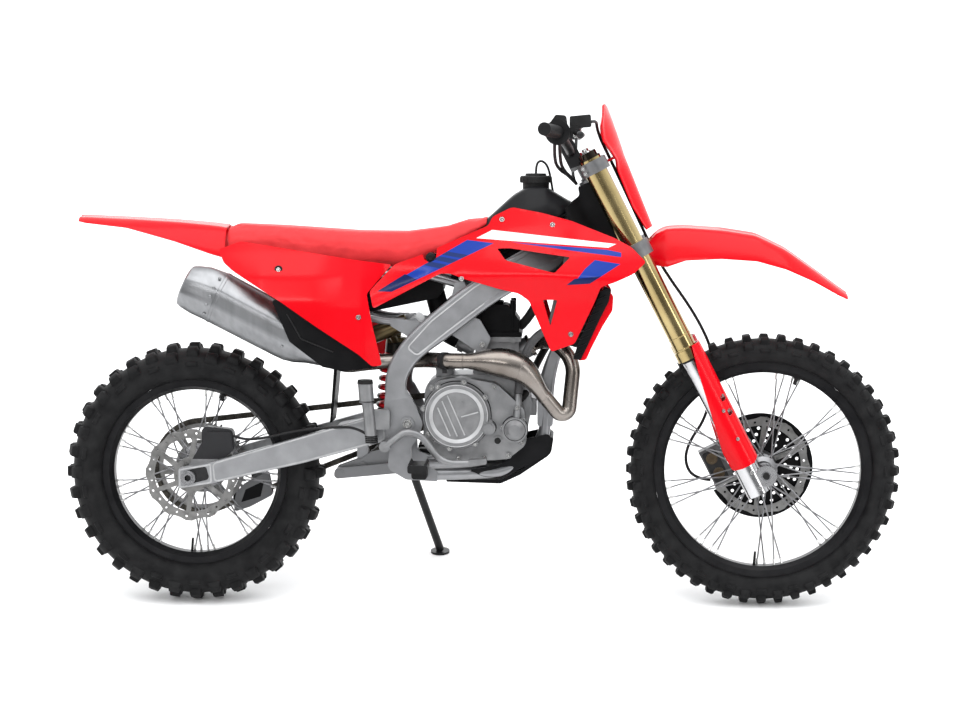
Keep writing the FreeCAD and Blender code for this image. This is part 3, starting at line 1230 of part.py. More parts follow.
def build():
    """Every node's shape upright, and the placement that leans and centres the whole bike."""
    shapes = {}
    for nodes in BODIES.values():
        for name, make in nodes.items():
            if make is not None:
                shapes[name] = make()
    placed = stance(shapes["front_tyre"], shapes["rear_tyre"])
    shapes["side_stand"] = side_stand(placed)
    box = FreeCAD.BoundBox()
    for shape in shapes.values():
        copy = shape.copy()
        copy.Placement = placed.multiply(copy.Placement)
        box.add(copy.optimalBoundingBox(False, False))
    placed = Placement(V(-box.Center.x, -box.Center.y, 0), Rotation()).multiply(placed)
    return shapes, placed


def main():
    os.makedirs("parts", exist_ok=True)
    shapes, placed = build()
    for name, shape in shapes.items():
        copy = shape.copy()
        copy.Placement = placed.multiply(copy.Placement)
        copy.exportStep(os.path.join("parts", name + ".step"))
        solids = copy.Solids
        if not copy.isValid() or not solids:
            print("check", name, "valid", copy.isValid(), "solids", len(solids))


if __name__ == "__main__":
    main()
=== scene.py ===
import json
from math import acos, atan2, copysign, cos, degrees, hypot, pi, radians, sin
import bmesh
import bpy
from mathutils import Matrix, Vector


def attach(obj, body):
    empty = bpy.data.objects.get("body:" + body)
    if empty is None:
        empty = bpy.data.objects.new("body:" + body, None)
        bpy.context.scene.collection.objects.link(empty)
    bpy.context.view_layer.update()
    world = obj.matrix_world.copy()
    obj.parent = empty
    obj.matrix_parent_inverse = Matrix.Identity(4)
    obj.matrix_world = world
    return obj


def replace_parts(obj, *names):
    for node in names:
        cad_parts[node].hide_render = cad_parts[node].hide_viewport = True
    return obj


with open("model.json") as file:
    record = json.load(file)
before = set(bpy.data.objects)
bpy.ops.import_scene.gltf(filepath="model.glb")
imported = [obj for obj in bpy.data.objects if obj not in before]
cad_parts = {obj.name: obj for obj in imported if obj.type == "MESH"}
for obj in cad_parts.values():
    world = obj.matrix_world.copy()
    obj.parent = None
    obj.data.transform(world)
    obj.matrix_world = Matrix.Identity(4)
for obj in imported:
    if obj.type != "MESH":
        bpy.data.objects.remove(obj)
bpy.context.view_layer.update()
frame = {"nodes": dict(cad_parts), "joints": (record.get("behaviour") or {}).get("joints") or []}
scene = bpy.context.scene

# The bike leans on its side stand, so its new pieces are drawn upright, in metres, with x = 0 at
# the rear axle and the ground at z = 0, and are then leaned. The lean is read from the two axles.
joints = {joint["name"]: joint for joint in frame["joints"]}
rear_axle = Vector((0, 0, 0.341))


def laid(place, turn=0.0, axis="Y"):
    """Where a shape goes: its place, and a turn about one axis."""
    return Matrix.Translation(place) @ Matrix.Rotation(turn, 4, axis)


head = laid((1.05, 0, 1.057), radians(-27.2))
front_axle = head @ Vector((0.058, 0, -0.82))
rear_stands = Vector(joints["rear_wheel_spin"]["pos_m"])
front_stands = Vector(joints["front_wheel_spin"]["pos_m"])
across = Vector(joints["rear_wheel_spin"]["axis"]).normalized()
between = (front_stands - rear_stands).normalized()
rise = atan2(front_axle.z - rear_axle.z, front_axle.x)
upward = sin(rise) * between + cos(rise) * between.cross(across)
forward = cos(rise) * between - sin(rise) * between.cross(across)
leaned = Matrix((forward, across, upward)).transposed().to_4x4()
leaned.translation = rear_stands - leaned.to_3x3() @ rear_axle

# The camera is a long lens on the bike's right side, a little above the bars. It leans with the
# bike, so the bike is seen square on, as upright as in a studio picture.
eye = leaned @ Vector((0.979, -5.5, 1.183))
aim = leaned @ Vector((0.744, 0, 0.635))
back = (eye - aim).normalized()
right = (leaned.to_3x3() @ Vector((0, 0, 1))).cross(back).normalized()
camera = bpy.data.objects.new("camera", bpy.data.cameras.new("camera"))
camera.data.lens = 79.9
camera.data.sensor_width = 36
camera.matrix_world = Matrix.Translation(eye) @ Matrix((right, back.cross(right), back)).transposed().to_4x4()
scene.collection.objects.link(camera)
scene.camera = camera

# The studio: one pale floor, a broad lamp overhead, a long one at the camera's side and one behind.
sweep = bmesh.new()
bmesh.ops.create_grid(sweep, x_segments=4, y_segments=4, size=45)
floor_mesh = bpy.data.meshes.new("floor")
sweep.to_mesh(floor_mesh)
sweep.free()
floor = bpy.data.objects.new("floor", floor_mesh)
scene.collection.objects.link(floor)
pale = bpy.data.materials.new("pale_floor")
pale.use_nodes = True
paint = pale.node_tree.nodes["Principled BSDF"].inputs
paint["Base Color"].default_value = (0.94, 0.94, 0.94, 1)
paint["Roughness"].default_value = 0.8
paint["Specular IOR Level"].default_value = 0.1
floor_mesh.materials.append(pale)


def lamp(name, place, width, height, power, spot=(0, 0, 0.6)):
    """An oblong lamp that looks at a spot."""
    light = bpy.data.objects.new(name, bpy.data.lights.new(name, "AREA"))
    light.data.shape = "RECTANGLE"
    light.data.size, light.data.size_y, light.data.energy = width, height, power
    light.location = place
    light.rotation_euler = (Vector(spot) - Vector(place)).to_track_quat("-Z", "Y").to_euler()
    scene.collection.objects.link(light)


lamp("overhead", (0.2, -0.9, 3.4), 4.6, 2.2, 70)
lamp("long_side", (-1.4, -4.6, 2.6), 3.4, 0.6, 50)
lamp("nose_side", (3.6, -2.6, 1.5), 0.6, 2.2, 26)
lamp("far_side", (-0.6, 4.4, 2.4), 3.6, 1.6, 24)
world = bpy.data.worlds.new("studio")
world.use_nodes = True
sky = world.node_tree


def node(tree, kind, **inputs):
    """A shader node with its inputs set; an underscore stands for the space in an input's name."""
    made = tree.nodes.new("ShaderNode" + kind)
    for name, value in inputs.items():
        made.inputs[name.replace("_", " ")].default_value = value
    return made


def wire(tree, *wires):
    """Joins nodes, each wire given as (node, output, node, input)."""
    for start, leaving, end, entering in wires:
        tree.links.new(start.outputs[leaving], end.inputs[entering])


heading, parts, ceiling = node(sky, "TexCoord"), node(sky, "SeparateXYZ"), node(sky, "Mix", B=1.85)
wire(sky, (heading, "Generated", parts, "Vector"), (ceiling, "Result", sky.nodes["Background"], "Strength"))
for axis, start, end, low, high, share in (
        ("Z", 0.20, 0.85, 0, 1, "Factor"), ("Y", -0.75, 0.40, 0.25, 1.55, "A")):
    grow = node(sky, "MapRange", From_Min=start, From_Max=end, To_Min=low, To_Max=high)
    grow.interpolation_type = "SMOOTHSTEP"
    wire(sky, (parts, axis, grow, "Value"), (grow, "Result", ceiling, share))
sky.nodes["Background"].inputs["Color"].default_value = (0.98, 0.99, 1.0, 1)
scene.world = world
scene.view_settings.view_transform = "Standard"

# The front brake hose: rubber over braid, 8 mm, from the lever's cylinder over the number plate,
# down inside the left fork leg and round into the caliper.
upright = leaned.to_3x3().inverted().to_4x4() @ Matrix.Translation(-leaned.translation)


def finish(name, dark, light, metallic, rough, mottle=14, grain=900, bump=0.05, stretch=(1, 1, 1),
           uneven=0.08, gloss=0.3):
    """A finish whose colour drifts between two tones and whose fine grain catches the light."""
    material = bpy.data.materials.new(name)
    material.use_nodes = True
    tree = material.node_tree
    shader = tree.nodes["Principled BSDF"]
    shader.inputs["Metallic"].default_value = metallic
    shader.inputs["Specular IOR Level"].default_value = gloss
    place = node(tree, "TexCoord")
    square = node(tree, "Mapping", Location=upright.translation, Rotation=upright.to_euler())
    square.name = "upright"
    drawn = node(tree, "Mapping", Scale=stretch)
    cloud = node(tree, "TexNoise", Scale=mottle, Detail=5)
    speck = node(tree, "TexNoise", Scale=grain, Detail=3)
    tones = node(tree, "ValToRGB")
    for stop, position, colour in zip(tones.color_ramp.elements, (0.3, 0.7), (dark, light)):
        stop.position, stop.color = position, (*colour, 1)
    sheen = node(tree, "MapRange", To_Min=rough - uneven, To_Max=rough + uneven)
    relief = node(tree, "Bump", Strength=bump, Distance=0.001)
    wire(tree, (place, "Object", square, "Vector"), (square, "Vector", drawn, "Vector"),
         (drawn, "Vector", cloud, "Vector"), (drawn, "Vector", speck, "Vector"),
         (cloud, "Fac", tones, "Fac"), (tones, "Color", shader, "Base Color"),
         (cloud, "Fac", sheen, "Value"), (sheen, "Result", shader, "Roughness"),
         (speck, "Fac", relief, "Height"), (relief, "Normal", shader, "Normal"))
    return material


hose_rubber = finish("hose_rubber", (0.006, 0.006, 0.0065), (0.012, 0.012, 0.013), 0.0, 0.42, 60, 1400, 0.2,
                     gloss=0.2)


def hose(name, points, radius, material, body):
    """A hose or cable as one smooth line through its clips, in metres on the upright bike."""
    curve = bpy.data.curves.new(name, "CURVE")
    curve.dimensions = "3D"
    line = curve.splines.new("NURBS")
    line.points.add(len(points) - 1)
    for knot, point in zip(line.points, points):
        knot.co = (*(leaned @ Vector(point)), 1)
    line.order_u = 3
    line.use_endpoint_u = True
    line.resolution_u = 8
    curve.bevel_depth = radius
    curve.bevel_resolution = 3
    curve.use_fill_caps = True
    piece = bpy.data.objects.new(name, curve)
    scene.collection.objects.link(piece)
    curve.materials.append(material)
    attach(piece, body)
    return piece


in_fork = [(0.070, -0.060, 0.150), (0.070, 0.008, 0.060), (0.064, 0.046, -0.120), (0.062, 0.052, -0.230),
           (0.088, 0.064, -0.400), (0.080, 0.061, -0.520), (-0.005, 0.060, -0.640), (-0.080, 0.060, -0.680),
           (-0.114, 0.060, -0.722), (-0.112, 0.060, -0.772), (-0.0745, 0.060, -0.796)]
brake_route = [(0.988, -0.196, 1.224), (1.040, -0.150, 1.262)] + [tuple(head @ Vector(p)) for p in in_fork]
brake_hose = hose("brake_hose", brake_route, 0.004, hose_rubber, "steering")
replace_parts(brake_hose, "front_brake_hose")

# The throttle and clutch cables: black cased wires that drop from the controls and end behind the
# upper clamp, where they turn with the bars.
cables = {"throttle_cable": [(0.938, -0.266, 1.196), (0.936, -0.215, 1.152), (0.950, -0.150, 1.128),
                             (0.972, -0.100, 1.114), (0.986, -0.078, 1.098)],
          "return_cable": [(0.950, -0.262, 1.196), (0.950, -0.205, 1.150), (0.962, -0.140, 1.124),
                           (0.980, -0.094, 1.108), (0.992, -0.074, 1.092)],
          "clutch_cable": [(0.992, 0.196, 1.216), (0.990, 0.150, 1.150), (0.980, 0.104, 1.116),
                           (0.988, 0.080, 1.096)]}
for name, route in cables.items():
    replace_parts(hose(name, route, 0.0042, hose_rubber, "steering"), "control_cables")

# The tyres: black rubber carcasses with nine staggered rows of moulded lugs, on beads of the rims.
rubber = finish("tyre_rubber", (0.005, 0.005, 0.0055), (0.014, 0.014, 0.0145), 0.0, 0.58, 30, 700, 0.35,
                gloss=0.10)


def rounded(shape, edges, radius, steps):
    """Rounds edges of a shape, and tells what that made."""
    return bmesh.ops.bevel(shape, geom=list(edges), offset=radius, offset_type="OFFSET", affect="EDGES",
                           segments=steps, profile=0.5, material=-1)


def lug(tread, place, width, length, height):
    """One moulded block: wider at its foot, its corners rounded, set down on the carcass."""
    rise = 0.32
    block = bmesh.ops.create_cube(tread, size=1)["verts"]
    for corner in block:
        taper = 0.84 if corner.co.z > 0 else 1.1
        corner.co = Vector((corner.co.x * width * taper, corner.co.y * length * taper,
                            (corner.co.z + rise) * height))
    rims = list({edge for corner in block for edge in corner.link_edges})
    top = [edge for edge in rims if max(end.co.z for end in edge.verts) > 0]
    worn = rounded(tread, top, 0.0016, 1)
    whole = {corner for face in worn["faces"] for corner in face.verts} | {v for v in block if v.is_valid}
    bmesh.ops.transform(tread, matrix=place, verts=list(whole))


def knobbly(name, node, body, axle, radius, width, rim_radius, rim_width, pitches, rows, lug_height):
    """A carcass spun about the axle, with rows of (angle, phase, width, length, share of height) lugs."""
    tread = bmesh.new()
    crown = radius - lug_height
    bead = rim_radius + 0.0003
    bead_y = rim_width / 2 - 0.001
    widest = bead + 0.45 * (crown - bead)
    half = width / 2 - 0.003

    def section(angle):
        if abs(angle) <= 90:
            return half * sin(radians(angle)), widest + (crown - widest) * cos(radians(angle))
        return (bead_y * (1 if angle > 0 else -1) + (half - bead_y) * sin(radians(angle)),
                widest + (widest - bead) * cos(radians(angle)))

    outline = []
    for angle in range(-180, 181, 12):
        y, r = section(angle)
        outline.append(tread.verts.new(axle + Vector((0, y, r))))
    ring = [tread.edges.new((outline[i], outline[(i + 1) % len(outline)])) for i in range(len(outline))]
    bmesh.ops.spin(tread, geom=outline + ring, cent=axle, axis=(0, 1, 0), angle=2 * pi, steps=120,
                   use_merge=True, use_normal_flip=False)
    for angle, phase, lug_width, lug_length, share in rows:
        y, r = section(angle)
        y1, r1 = section(angle + 1)
        y0, r0 = section(angle - 1)
        lie = degrees(atan2(-(r1 - r0), y1 - y0))
        seat = laid((0, y, r), radians(-lie), "X")
        for i in range(pitches):
            turn = Matrix.Rotation(2 * pi * (i + phase) / pitches, 4, "Y")
            lug(tread, Matrix.Translation(axle) @ turn @ seat, lug_length, lug_width, lug_height * share)
    return bike_piece(name, tread, body, rubber, 40, node)


def bike_piece(name, shape, body, material, crease=30, *nodes):
    """Leans a finished shape with the bike, and hangs it on its body in place of those nodes."""
    bmesh.ops.remove_doubles(shape, verts=shape.verts, dist=0.00001)
    bmesh.ops.recalc_face_normals(shape, faces=shape.faces)
    shape.transform(leaned)
    mesh = bpy.data.meshes.new(name)
    shape.to_mesh(mesh)
    shape.free()
    mesh.shade_smooth()
    mesh.set_sharp_from_angle(angle=radians(crease))
    mesh.materials.append(material)
    piece = bpy.data.objects.new(name, mesh)
    scene.collection.objects.link(piece)
    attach(piece, body)
    for node in nodes:
        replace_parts(piece, node)
    return piece


def rows_of(middle, *pairs):
    """The middle row of lugs and, on each side, those outside it."""
    return [middle] + [(side * angle, *size) for side in (-1, 1) for angle, *size in pairs]


front_rows = rows_of((0, 0, 0.024, 0.022, 1.0), (19, 0.5, 0.018, 0.022, 1.1), (39, 0, 0.018, 0.024, 1.0),
                     (60, 0.5, 0.020, 0.024, 0.95), (82, 0, 0.008, 0.026, 0.35))
rear_rows = rows_of((0, 0, 0.036, 0.028, 1.0), (20, 0.5, 0.028, 0.028, 1.1), (38, 0, 0.026, 0.030, 1.0),
                    (58, 0.5, 0.026, 0.032, 0.95), (80, 0, 0.012, 0.030, 0.35))
knobbly("front_knobbly", "front_tyre", "front_wheel", front_axle, 0.355, 0.092, 0.280, 0.048, 24, front_rows,
        0.014)
knobbly("rear_knobbly", "rear_tyre", "rear_wheel", rear_axle, 0.341, 0.128, 0.242, 0.064, 18, rear_rows,
        0.017)


def dress(material, *names):
    """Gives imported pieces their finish."""
    for name in names:
        mesh = frame["nodes"][name].data
        mesh.materials.clear()
        mesh.materials.append(material)


# The rims: drawn aluminium, anodised black and drilled for 36 spokes, with a nipple on every spoke, a
# valve and a black lock that pins each tyre's bead.
black_anodised = finish("black_anodised", (0.008, 0.008, 0.009), (0.016, 0.016, 0.017), 0.5, 0.32, 20, 1200,
                        0.05, gloss=0.2)
dress(black_anodised, "front_rim", "rear_rim")
plated = finish("plated_steel", (0.36, 0.36, 0.36), (0.52, 0.52, 0.51), 1.0, 0.26, 70, 1500, 0.04)
valve_rubber = finish("valve_rubber", (0.006, 0.006, 0.006), (0.012, 0.012, 0.012), 0.0, 0.56, 40, 1500, 0.25,
                      gloss=0.18)


def standing(place, out):
    """Where a shape goes whose own axis looks out along a direction."""
    return Matrix.Translation(place) @ Vector(out).to_track_quat("Z", "Y").to_matrix().to_4x4()


def round_bar(shape, lie, sides, foot, tip, length):
    """A round bar or cone of that many sides, with the radius of its foot and of its tip."""
    return bmesh.ops.create_cone(shape, cap_ends=True, segments=sides, radius1=foot, radius2=tip,
                                 depth=length, matrix=lie)["verts"]


def wheel_fittings(name, body, axle, rim_well):
    """The spoke nipples in the rim's well, and the valve."""
    pairs, crossed = 18, radians(52) * 0.62
    nipples = bmesh.new()
    for side in (-1, 1):
        for i in range(pairs):
            turn = 2 * pi * (i / pairs + (0 if side < 0 else 0.5 / pairs)) + (crossed if i % 2 else -crossed)
            out = Vector((sin(turn), 0, cos(turn)))
            place = axle + out * (rim_well - 0.008) + Vector((0, side * 0.006, 0))
            round_bar(nipples, standing(place, out), 8, 0.0026, 0.0034, 0.016)
    bike_piece(name + "_nipples", nipples, body, plated, 40)
    lock = bmesh.new()
    for turn, radius, length in ((radians(184), 0.0038, 0.036), (radians(20), 0.0060, 0.020),
                                 (radians(20), 0.0088, 0.006)):
        out = Vector((sin(turn), 0, cos(turn)))
        place = axle + out * (rim_well - length / 2 + 0.001)
        round_bar(lock, standing(place, out), 14, radius * 0.8, radius, length)
    bike_piece(name + "_valve", lock, body, valve_rubber, 40)


wheel_fittings("front_wheel", "front_wheel", front_axle, 0.253)
wheel_fittings("rear_wheel", "rear_wheel", rear_axle, 0.215)

# The hubs: cast aluminium, turned bright, with the stainless spokes laced into their flanges.
hub_silver = finish("hub_silver", (0.15, 0.15, 0.155), (0.27, 0.27, 0.28), 1.0, 0.30, 40, 1500, 0.08)
dress(hub_silver, "front_hub", "rear_hub")

# The wave discs and the rear sprocket: ground steel plate, and the axles, turned from steel bar.
disc_steel = finish("disc_steel", (0.19, 0.188, 0.184), (0.29, 0.287, 0.282), 1.0, 0.30, 55, 1600, 0.10)
axle_steel = finish("axle_steel", (0.24, 0.24, 0.25), (0.38, 0.38, 0.39), 1.0, 0.26, 60, 1600, 0.05)
dress(disc_steel, "front_disc", "rear_disc", "rear_sprocket")
dress(axle_steel, "front_axle", "rear_axle")
# A black disc at the front axle's right end: painted shade inside the axle's hollow bore.
bore_shade = bmesh.new()
round_bar(bore_shade, laid(front_axle + Vector((0, -0.1302, 0)), pi / 2, "X"), 24, 0.0085, 0.0085, 0.0016)
bike_piece("front_axle_bore_shade", bore_shade, "steering", valve_rubber, 40)


def print_on(material, *patches):
    """Prints patches on a finish: a colour, then (x, z) corners, anticlockwise from the right side."""
    tree = material.node_tree
    paint = tree.nodes["Principled BSDF"].inputs["Base Color"]
    for colour, *corners in patches:
        under, mask = paint.links[0].from_socket, None
        for (x0, z0), (x1, z1) in zip(corners, corners[1:] + corners[:1]):
            edge = tree.nodes.new("ShaderNodeVectorMath")
            edge.operation = "DOT_PRODUCT"
            edge.inputs[1].default_value = (z0 - z1, 0, x1 - x0)
            inside = tree.nodes.new("ShaderNodeMath")
            inside.operation = "GREATER_THAN"
            inside.inputs[1].default_value = x0 * (z0 - z1) + z0 * (x1 - x0)
            wire(tree, (tree.nodes["upright"], "Vector", edge, 0), (edge, "Value", inside, 0))
            if mask is not None:
                both = tree.nodes.new("ShaderNodeMath")
                both.operation = "MULTIPLY"
                wire(tree, (mask, "Value", both, 0), (inside, "Value", both, 1))
            mask = inside if mask is None else both
        over = tree.nodes.new("ShaderNodeMix")
        over.data_type = "RGBA"
        over.inputs["B"].default_value = (*colour, 1)
        tree.links.new(under, over.inputs["A"])
        wire(tree, (mask, "Value", over, "Factor"))
        tree.links.new(over.outputs["Result"], paint)


# The frame, subframe and swingarm: satin aluminium, sand-cast at the plates and drawn along the
# beams, all welded up. At the arm's ends, dark plates are painted shade standing for the slot that the
# axle slides in.
frame_alloy = finish("frame_alloy", (0.21, 0.212, 0.220), (0.26, 0.263, 0.272), 0.80, 0.36, 24, 700, 0.15,
                     uneven=0.05)
dress(frame_alloy, "main_frame", "subframe")
arm_alloy = finish("arm_alloy", (0.26, 0.263, 0.272), (0.32, 0.324, 0.334), 0.80, 0.36, 24, 700, 0.15,
                   uneven=0.05)
dress(arm_alloy, "swingarm")
# A near-black finish that is painted shade, for recesses and openings.
painted_recess_shade = finish("painted_recess_shade", (0.016, 0.016, 0.017), (0.030, 0.030, 0.031), 0.6, 0.45, 40, 1200, 0.1)


def block(shape, lie, size):
    """A plain block in a shape, laid by its matrix."""
    return bmesh.ops.create_cube(shape, size=1, matrix=lie @ Matrix.Diagonal((*size, 1)))["verts"]


def edges_across(corners):
    """The edges at those corners that run from one side of the bike to the other."""
    return {e for v in corners for e in v.link_edges if abs(e.verts[0].co.y - e.verts[1].co.y) > 0.001}


# Dark plates on the swingarm's ends: painted shade of the axle slots.
slots = bmesh.new()
for side in (-1, 1):
    slot = block(slots, laid((0.022, side * 0.1242, 0.3475), radians(-14)), (0.058, 0.0014, 0.036))
    rounded(slots, edges_across(slot), 0.009, 4)
bike_piece("axle_slot_shade", slots, "chassis", painted_recess_shade, 40)

# The engine: sand-cast cases and cylinder, machined at the joints, with a black cam cover.
cast_alloy = finish("cast_alloy", (0.17, 0.172, 0.177), (0.245, 0.246, 0.250), 0.75, 0.40, 30, 1100, 0.25,
                    uneven=0.05)
dress(cast_alloy, "crankcase", "cylinder", "clutch_cover")
black_moulding = finish("black_moulding", (0.0035, 0.0035, 0.004), (0.007, 0.007, 0.0075), 0.0, 0.42, 22,
                        1800, 0.25, gloss=0.06)
dress(black_moulding, "head_cover")


def bead(shape, at, out, radius, wire, steps=48, squash=Matrix()):
    """A ring of round wire, or of squashed wire, about a point, square to the direction out."""
    ring = standing(at, out)
    section = ring @ laid((radius, 0, 0), pi / 2, "X") @ squash
    round_wire = bmesh.ops.create_circle(shape, segments=6, radius=wire, matrix=section)["verts"]
    edges = list({e for v in round_wire for e in v.link_edges})
    bmesh.ops.spin(shape, geom=round_wire + edges, cent=at, axis=ring.to_3x3() @ Vector((0, 0, 1)),
                   angle=2 * pi, steps=steps, use_merge=True)


# The clutch cover's face: slanted ribs and a chamfer cut in its dish, lighter than the cover as painted
# highlight, dark gaskets round the lids, and the oil window.
lid_x, lid_z, pump_x, pump_z = 0.690, 0.505, 0.838, 0.470
# The lighter finish of the ribs, the chamfer and the borders is painted highlight along raised edges.
edge_highlight = finish("painted_edge_highlight", (0.34, 0.342, 0.348), (0.44, 0.442, 0.448), 0.5, 0.42, 40, 1500, 0.05)
ribs = bmesh.new()
for x0, z0, x1, z1 in ((0.6420, 0.526, 0.674, 0.4535), (0.6530, 0.543, 0.692, 0.4530),
                       (0.6670, 0.557, 0.711, 0.4560), (0.7020, 0.503, 0.745, 0.5150)):
    lie = laid(((x0 + x1) / 2, -0.1346, (z0 + z1) / 2), atan2(x1 - x0, z1 - z0))
    block(ribs, lie, (0.0030, 0.0036, hypot(x1 - x0, z1 - z0)))
chamfer = Matrix.Rotation(radians(-21), 4, "Z") @ Matrix.Diagonal((0.0057, 0.0009, 1, 1))
bead(ribs, Vector((lid_x, -0.1353, lid_z)), (0, 1, 0), 0.0652, 1, 64, chamfer)
bead(ribs, Vector((lid_x, -0.1372, lid_z)), (0, 1, 0), 0.0790, 0.0010, 64)
bike_piece("cover_ribs", ribs, "chassis", edge_highlight, 30)
gaskets = bmesh.new()
for x, z, y, radius in ((lid_x, lid_z, -0.1126, 0.0872), (pump_x, pump_z, -0.1126, 0.0330),
                        (0.772, 0.474, -0.1126, 0.0180), (pump_x, pump_z, -0.1392, 0.0270)):
    bead(gaskets, Vector((x, y, z)), (0, 1, 0), radius, 0.0013, 56)
round_bar(gaskets, laid((0.794, -0.1195, 0.440), pi / 2, "X"), 24, 0.0085, 0.0080, 0.0020)
bike_piece("engine_gaskets", gaskets, "chassis", valve_rubber, 40)

# The fork: aluminium outer tubes, anodised gold, over hard-chromed sliders, in cast clamps. A black
# wiper and two turned rings end each tube, and the caps on top are darker.
gold = finish("gold_anodised", (0.34, 0.26, 0.12), (0.44, 0.35, 0.17), 1.0, 0.17, 12, 1000, 0.01)


def copy_of(material, name):
    """The same finish under a new name, to print on."""
    second = material.copy()
    second.name = name
    return second


capped_gold = copy_of(gold, "capped_gold")
print_on(capped_gold, ((0.034, 0.028, 0.022), (0.9857, 1.1341), (1.0639, 1.1743), (1.0447, 1.2116),
                       (0.9665, 1.1714)))
dress(capped_gold, "fork_tubes")
chrome = finish("fork_chrome", (0.42, 0.42, 0.43), (0.58, 0.58, 0.59), 1.0, 0.18, 12, 1000, 0.02)
dress(chrome, "fork_sliders")
tube_x, tube_y = 0.022, 0.100
rings, wipers = bmesh.new(), bmesh.new()
for side in (-1, 1):
    for shape, z, height, radius in ((rings, -0.4520, 0.009, 0.0312), (rings, -0.4360, 0.004, 0.0304),
                                     (rings, -0.4040, 0.003, 0.0300), (wipers, -0.4690, 0.006, 0.0272)):
        lie = head @ Matrix.Translation((tube_x, side * tube_y, z))
        ring = round_bar(shape, lie, 40, radius, radius, height)
        rounded(shape, {e for v in ring for e in v.link_edges if e.calc_length() < radius * 0.17}, 0.0009, 2)
bike_piece("fork_rings", rings, "steering", gold, 40)
bike_piece("fork_wipers", wipers, "steering", valve_rubber, 40)
clamp_alloy = finish("clamp_alloy", (0.125, 0.126, 0.130), (0.180, 0.181, 0.184), 0.75, 0.40, 30, 1100, 0.25,
                     uneven=0.05)
print_on(clamp_alloy, ((0.022, 0.022, 0.023), (0.966, 1.126), (1.004, 1.140), (1.030, 1.170), (0.990, 1.225),
                       (0.925, 1.215)))
dress(clamp_alloy, "triple_clamps")

# The bars and what is on them: a black steel bar, soft rubber grips and black-finished controls with
# bright pivot screws. The side stand is steel tube, painted black like the bar.
black_steel = finish("black_steel", (0.008, 0.008, 0.008), (0.016, 0.016, 0.017), 0.2, 0.36, 30, 900, 0.12,
                     gloss=0.2)
dress(black_steel, "handlebar", "side_stand", "hand_controls")
dress(rubber, "grips")
dress(black_moulding, "front_disc_guard")

# The front caliper: dark cast aluminium, with two bronze pistons in an opening towards the wheel. A
# dark plate in the opening is painted shade.
caliper_alloy = finish("caliper_alloy", (0.070, 0.070, 0.072), (0.120, 0.120, 0.123), 0.8, 0.40, 40, 1200,
                       0.2)
dress(caliper_alloy, "front_caliper")
# The dark plate behind the pistons: painted shade inside the caliper's opening.
opening = bmesh.new()
shut = block(opening, head @ Matrix.Translation((-0.046, 0.0346, -0.764)), (0.040, 0.0020, 0.086))
rounded(opening, edges_across(shut), 0.008, 4)
bike_piece("caliper_opening_shade", opening, "steering", painted_recess_shade, 40)
bronze = finish("bronze", (0.060, 0.043, 0.028), (0.105, 0.080, 0.052), 0.9, 0.38, 60, 1200, 0.1)
pistons = bmesh.new()
for height in (-0.743, -0.785):
    at = head @ Vector((-0.046, 0.0332, height))
    round_bar(pistons, laid(at, pi / 2, "X"), 32, 0.0150, 0.0150, 0.0022)
    bead(pistons, at - Vector((0, 0.0008, 0)), (0, 1, 0), 0.0118, 0.0018, 32)
bike_piece("caliper_pistons", pistons, "steering", bronze, 40)

# The shrouds: red moulded plastic, 4 mm thick, one each side. Each wing starts under the seat, runs
# over the tank's side and ends at the radiator, with an air vent and printed stripes.
red_plastic = finish("red_plastic", (0.53, 0.001, 0.005), (0.61, 0.0015, 0.008), 0.0, 0.20, 5, 1300, 0.015,
                     gloss=0.16)
printed_red = copy_of(red_plastic, "printed_red")
BLUE, NAVY, WHITE = (0.010, 0.036, 0.26), (0.006, 0.012, 0.070), (0.72, 0.72, 0.74)
lines = [((0.012, 0.026, 0.110),
          (0.490 + (low - 0.813) * 1.746, low + 0.009), (0.526 + (low - 0.821) * 2.0976, low),
          (0.526 + (high - 0.821) * 2.0976, high), (0.490 + (high - 0.813) * 1.746, high + 0.009))
         for low, high in ((0.8800, 0.8890), (0.8935, 0.9020), (0.9060, 0.9140))]
print_on(printed_red, (BLUE, (0.490, 0.822), (0.526, 0.821), (0.784, 0.944), (0.717, 0.952)),
         (NAVY, (0.490, 0.822), (0.526, 0.821), (0.590, 0.852), (0.560, 0.866)), *lines,
         (WHITE, (0.739, 0.956), (0.802, 0.952), (1.068, 0.933), (1.092, 0.944), (0.780, 0.977)),
         (BLUE, (0.802, 0.949), (0.982, 0.927), (1.104, 0.911), (1.104, 0.923), (1.068, 0.930)),
         (BLUE, (0.968, 0.842), (1.026, 0.846), (1.102, 0.895), (1.031, 0.906), (1.013, 0.882)),
         (NAVY, (0.968, 0.842), (1.026, 0.846), (1.055, 0.865), (0.988, 0.858)))


def between_stations(stations, x, z):
    """How far out a panel lies at (x, z), from its (x, [(z, y), ...]) stations."""
    def at(points, height):
        points = sorted(points)
        if height <= points[0][0]:
            return points[0][1]
        for (z0, y0), (z1, y1) in zip(points, points[1:]):
            if height <= z1:
                return y0 + (y1 - y0) * (height - z0) / (z1 - z0)
        return points[-1][1]
    for (x0, low), (x1, high) in zip(stations, stations[1:]):
        if x <= x1 or x1 == stations[-1][0]:
            share = min(1, max(0, (x - x0) / (x1 - x0)))
            return at(low, z) * (1 - share) + at(high, z) * share


